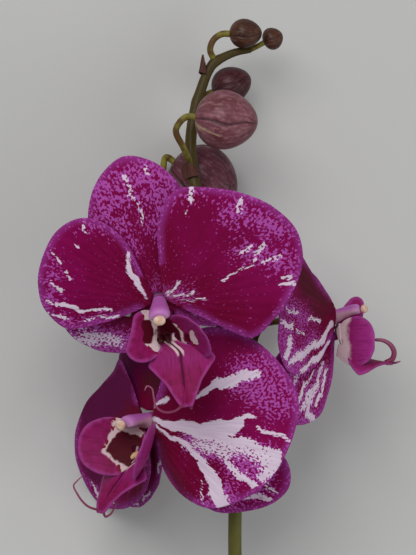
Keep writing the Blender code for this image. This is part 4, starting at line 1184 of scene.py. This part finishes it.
def bud_finish(name, dark, mid, light, pale, pale_share):
    """Orchid bud, grown: fleshy matt-waxy skin with lengthwise streaks 1 mm wide, and painted shade darkening
    its seams.
    """
    finish, tree, shader = new_finish(name, Roughness=0.42, Specular_IOR_Level=0.2)
    skin_place = add(tree, "ShaderNodeAttribute", attribute_name="skin_place").outputs["Vector"]
    groove, along, off_seam = add(tree, "ShaderNodeSeparateXYZ", {0: skin_place}).outputs
    run = add(tree, "ShaderNodeAttribute", attribute_name="skin_run").outputs["Vector"]
    here = add(tree, "ShaderNodeTexCoord").outputs["Object"]
    cloud = add(tree, "ShaderNodeTexNoise", {"Vector": here, "Scale": 150.0, "Detail": 3.0})
    fine = add(tree, "ShaderNodeTexNoise", {"Vector": here, "Scale": 800.0, "Detail": 2.0})
    streaks = add(tree, "ShaderNodeTexNoise", {"Vector": run, "Scale": 9.0, "Detail": 3.0})
    colour = lay(tree, dark, mid, cloud, 0.38, 0.62, blend="SMOOTHSTEP")
    mottled = add(tree, "ShaderNodeMath", {0: fine, 1: 0.5, 2: streaks}, operation="MULTIPLY_ADD")
    colour = lay(tree, colour, light, mottled, 0.74, 0.92, 0.0, 0.8)
    colour = lay(tree, colour, dark, mottled, 0.72, 0.58, 0.0, 0.6)
    # Cream-green streaks start at the foot, one beside each seam
    beside = add(tree, "ShaderNodeMath", {0: off_seam, 1: 0.22}, operation="SUBTRACT")
    beside = add(tree, "ShaderNodeMath", {0: beside}, operation="ABSOLUTE")
    beside = add(tree, "ShaderNodeMapRange", {0: beside, 1: 0.0, 2: 0.1, 3: 0.5, 4: 0.0})
    early = add(tree, "ShaderNodeMapRange", {0: along, 1: 0.1, 2: 0.75, 3: 0.4, 4: -0.2})
    green = add(tree, "ShaderNodeMath", {0: beside, 1: early}, operation="ADD")
    green = add(tree, "ShaderNodeMath", {0: streaks, 1: 1.2, 2: green}, operation="MULTIPLY_ADD")
    colour = lay(tree, colour, pale, green, 1.2, 1.4, 0.0, pale_share, "SMOOTHSTEP")
    # Painted shade: the seam grooves are darkened almost to black-brown
    colour = lay(tree, colour, "2a1016", groove, 0.35, 0.95, 0.0, 0.8)
    end_finish(tree, shader, colour, mottled, 0.5)
    return finish


ripe_skin = bud_finish("orchid bud, fleshy rose-brown skin", "5e3338", "764550", "8c6064", "a3906f", 0.7)
dusky_skin = bud_finish("orchid bud, fleshy mauve-brown skin", "4e242e", "653340", "74505a", "8c7c6c", 0.6)
maroon_skin = bud_finish("orchid bud, fleshy maroon skin", "321318", "462026", "553030", "84742f", 0.7)
young_skin = bud_finish("young orchid bud, fleshy brown skin", "361d16", "4a2b1e", "5a3d2b", "84786e", 0.25)


# How deep the seams are, as a share of the bud's half width
SEAM_DEPTH = 0.06


def bud(name, base, tip, width, depth, turn, finish, slot, drawn_in=1.0):
    """A bud from base to tip, its girth drawn in by a factor; gives its foot and the way that it points."""
    base, tip = np.array(base, float), np.array(tip, float)
    length = np.linalg.norm(tip - base)
    ahead = (tip - base) / length
    flank = unit(np.cross((0, 0, 1), ahead))
    obj = grow(
        name, bpy.data.meshes.new(name), bud_tree, BUD_KEYS, Length=length * MM,
        Width=drawn_in * width / 2 * MM, Depth=drawn_in * depth / 2 * MM,
        Seam=SEAM_DEPTH, Turn=turn, Finish=finish,
    )
    axes = Matrix((flank, np.cross(ahead, flank), ahead)).transposed().to_4x4()
    place = SPRAY @ Matrix.Translation(Vector(base)) @ axes
    place.translation *= MM
    obj.data.transform(place)
    claim(obj, name)
    return base + ahead * length * BUD_END, ahead


def stalked_bud(name, via, *shape):
    """A bud and the stalk that leads to it by way of some points."""
    foot, ahead = bud(name, *shape)
    stalk(name, via, [foot - ahead * 3.0, foot + ahead * SUNK], BUD_KNOB, bud_stalk_skin)


stalked_bud(
    "bud_1", [(-10, 27, 33), (-15.5, 33, 27), (-17, 40, 21.5)],
    (-14.5, 45, 18), (11, 28, 16.5), 28, 22, 0.0, dusky_skin, "bud", 0.955,
)
stalked_bud(
    "bud_2", [(-9, 48, 41), (-11.8, 55, 44)],
    (-6.2, 59.3, 45), (19.8, 57, 46), 22, 20, 0.18, ripe_skin, "bud",
)
stalked_bud(
    "bud_3", [(-1.5, 66.5, 23), (-2, 67.5, 21)],
    (1.0, 70, 19), (17, 76.5, 19), 14, 14, 0.25, maroon_skin, "bud",
)
stalked_bud(
    "bud_4", [(0.8, 85.5, 28), (2.2, 89.5, 28.5)],
    (7.3, 91.5, 29), (21, 91.8, 30), 12, 12, 0.1, young_skin, "young_bud", 0.92,
)
# The last bud ends the stem, so its stalk runs on from there
foot, ahead = bud("bud_5", (20.5, 88.5, 25), (28.5, 92, 25), 8.5, 8.5, 0.2, young_skin, "young_bud")
path = through([(15.2, 85.6, 25), (18.5, 87.2, 25), foot + ahead * SUNK], 24)
bar("stalk_bud_5", path, [1.0] * len(path), STALK_SIDES, bud_stalk_skin, "stalk_bud_5")

# The table, light and camera
# A plain pale matt table top under soft light from the left and from in front, as in a studio. The camera
# looks down at the blooms, square to the spray, from a metre away.

table_paint, tree, shader = new_finish("table top, matt pale paint", Roughness=0.85)
here = add(tree, "ShaderNodeTexCoord").outputs["Object"]
cloud = add(tree, "ShaderNodeTexNoise", {"Vector": here, "Scale": 3.0, "Detail": 2.0})
tone = add(tree, "ShaderNodeMix", {0: cloud, 6: linear("b8b7b5"), 7: linear("bfbebc")}, data_type="RGBA")
feed(shader, {"Base Color": tone})
mesh = bpy.data.meshes.new("table_top")
mesh.from_pydata([(-6, -6, 0), (6, -6, 0), (6, 6, 0), (-6, 6, 0)], [], [(0, 1, 2, 3)])
mesh.materials.append(table_paint)
put("table_top", mesh)


def soft_light(name, place, size, power):
    """A square soft light that looks at the middle of the spray."""
    lamp = put(name, bpy.data.lights.new(name, "AREA"))
    lamp.data.size = size
    lamp.data.energy = power
    lamp.location = place
    lamp.rotation_euler = (Vector((0, 0, 0.05)) - Vector(place)).to_track_quat("-Z", "Y").to_euler()


soft_light("key", (-0.7, 0.7, 1.3), 0.9, 16)
soft_light("fill", (0.9, -0.5, 1.1), 1.2, 6)
world = bpy.data.worlds.new("studio air")
world.use_nodes = True
feed(world.node_tree.nodes["Background"], {"Color": linear("dfe2e6"), "Strength": 0.45})
bpy.context.scene.world = world
bpy.context.scene.view_settings.view_transform = "Standard"

camera = put("camera", bpy.data.cameras.new("camera"))
camera.data.sensor_fit = "AUTO"
camera.data.sensor_width = 36.0
# A long lens, so that blooms at other depths keep their sizes
camera.data.lens = 167.57
place = SPRAY.copy()
place.translation *= MM
camera.matrix_world = place @ Matrix.Translation(Vector((0, 0, 1.0)))
bpy.context.scene.camera = camera
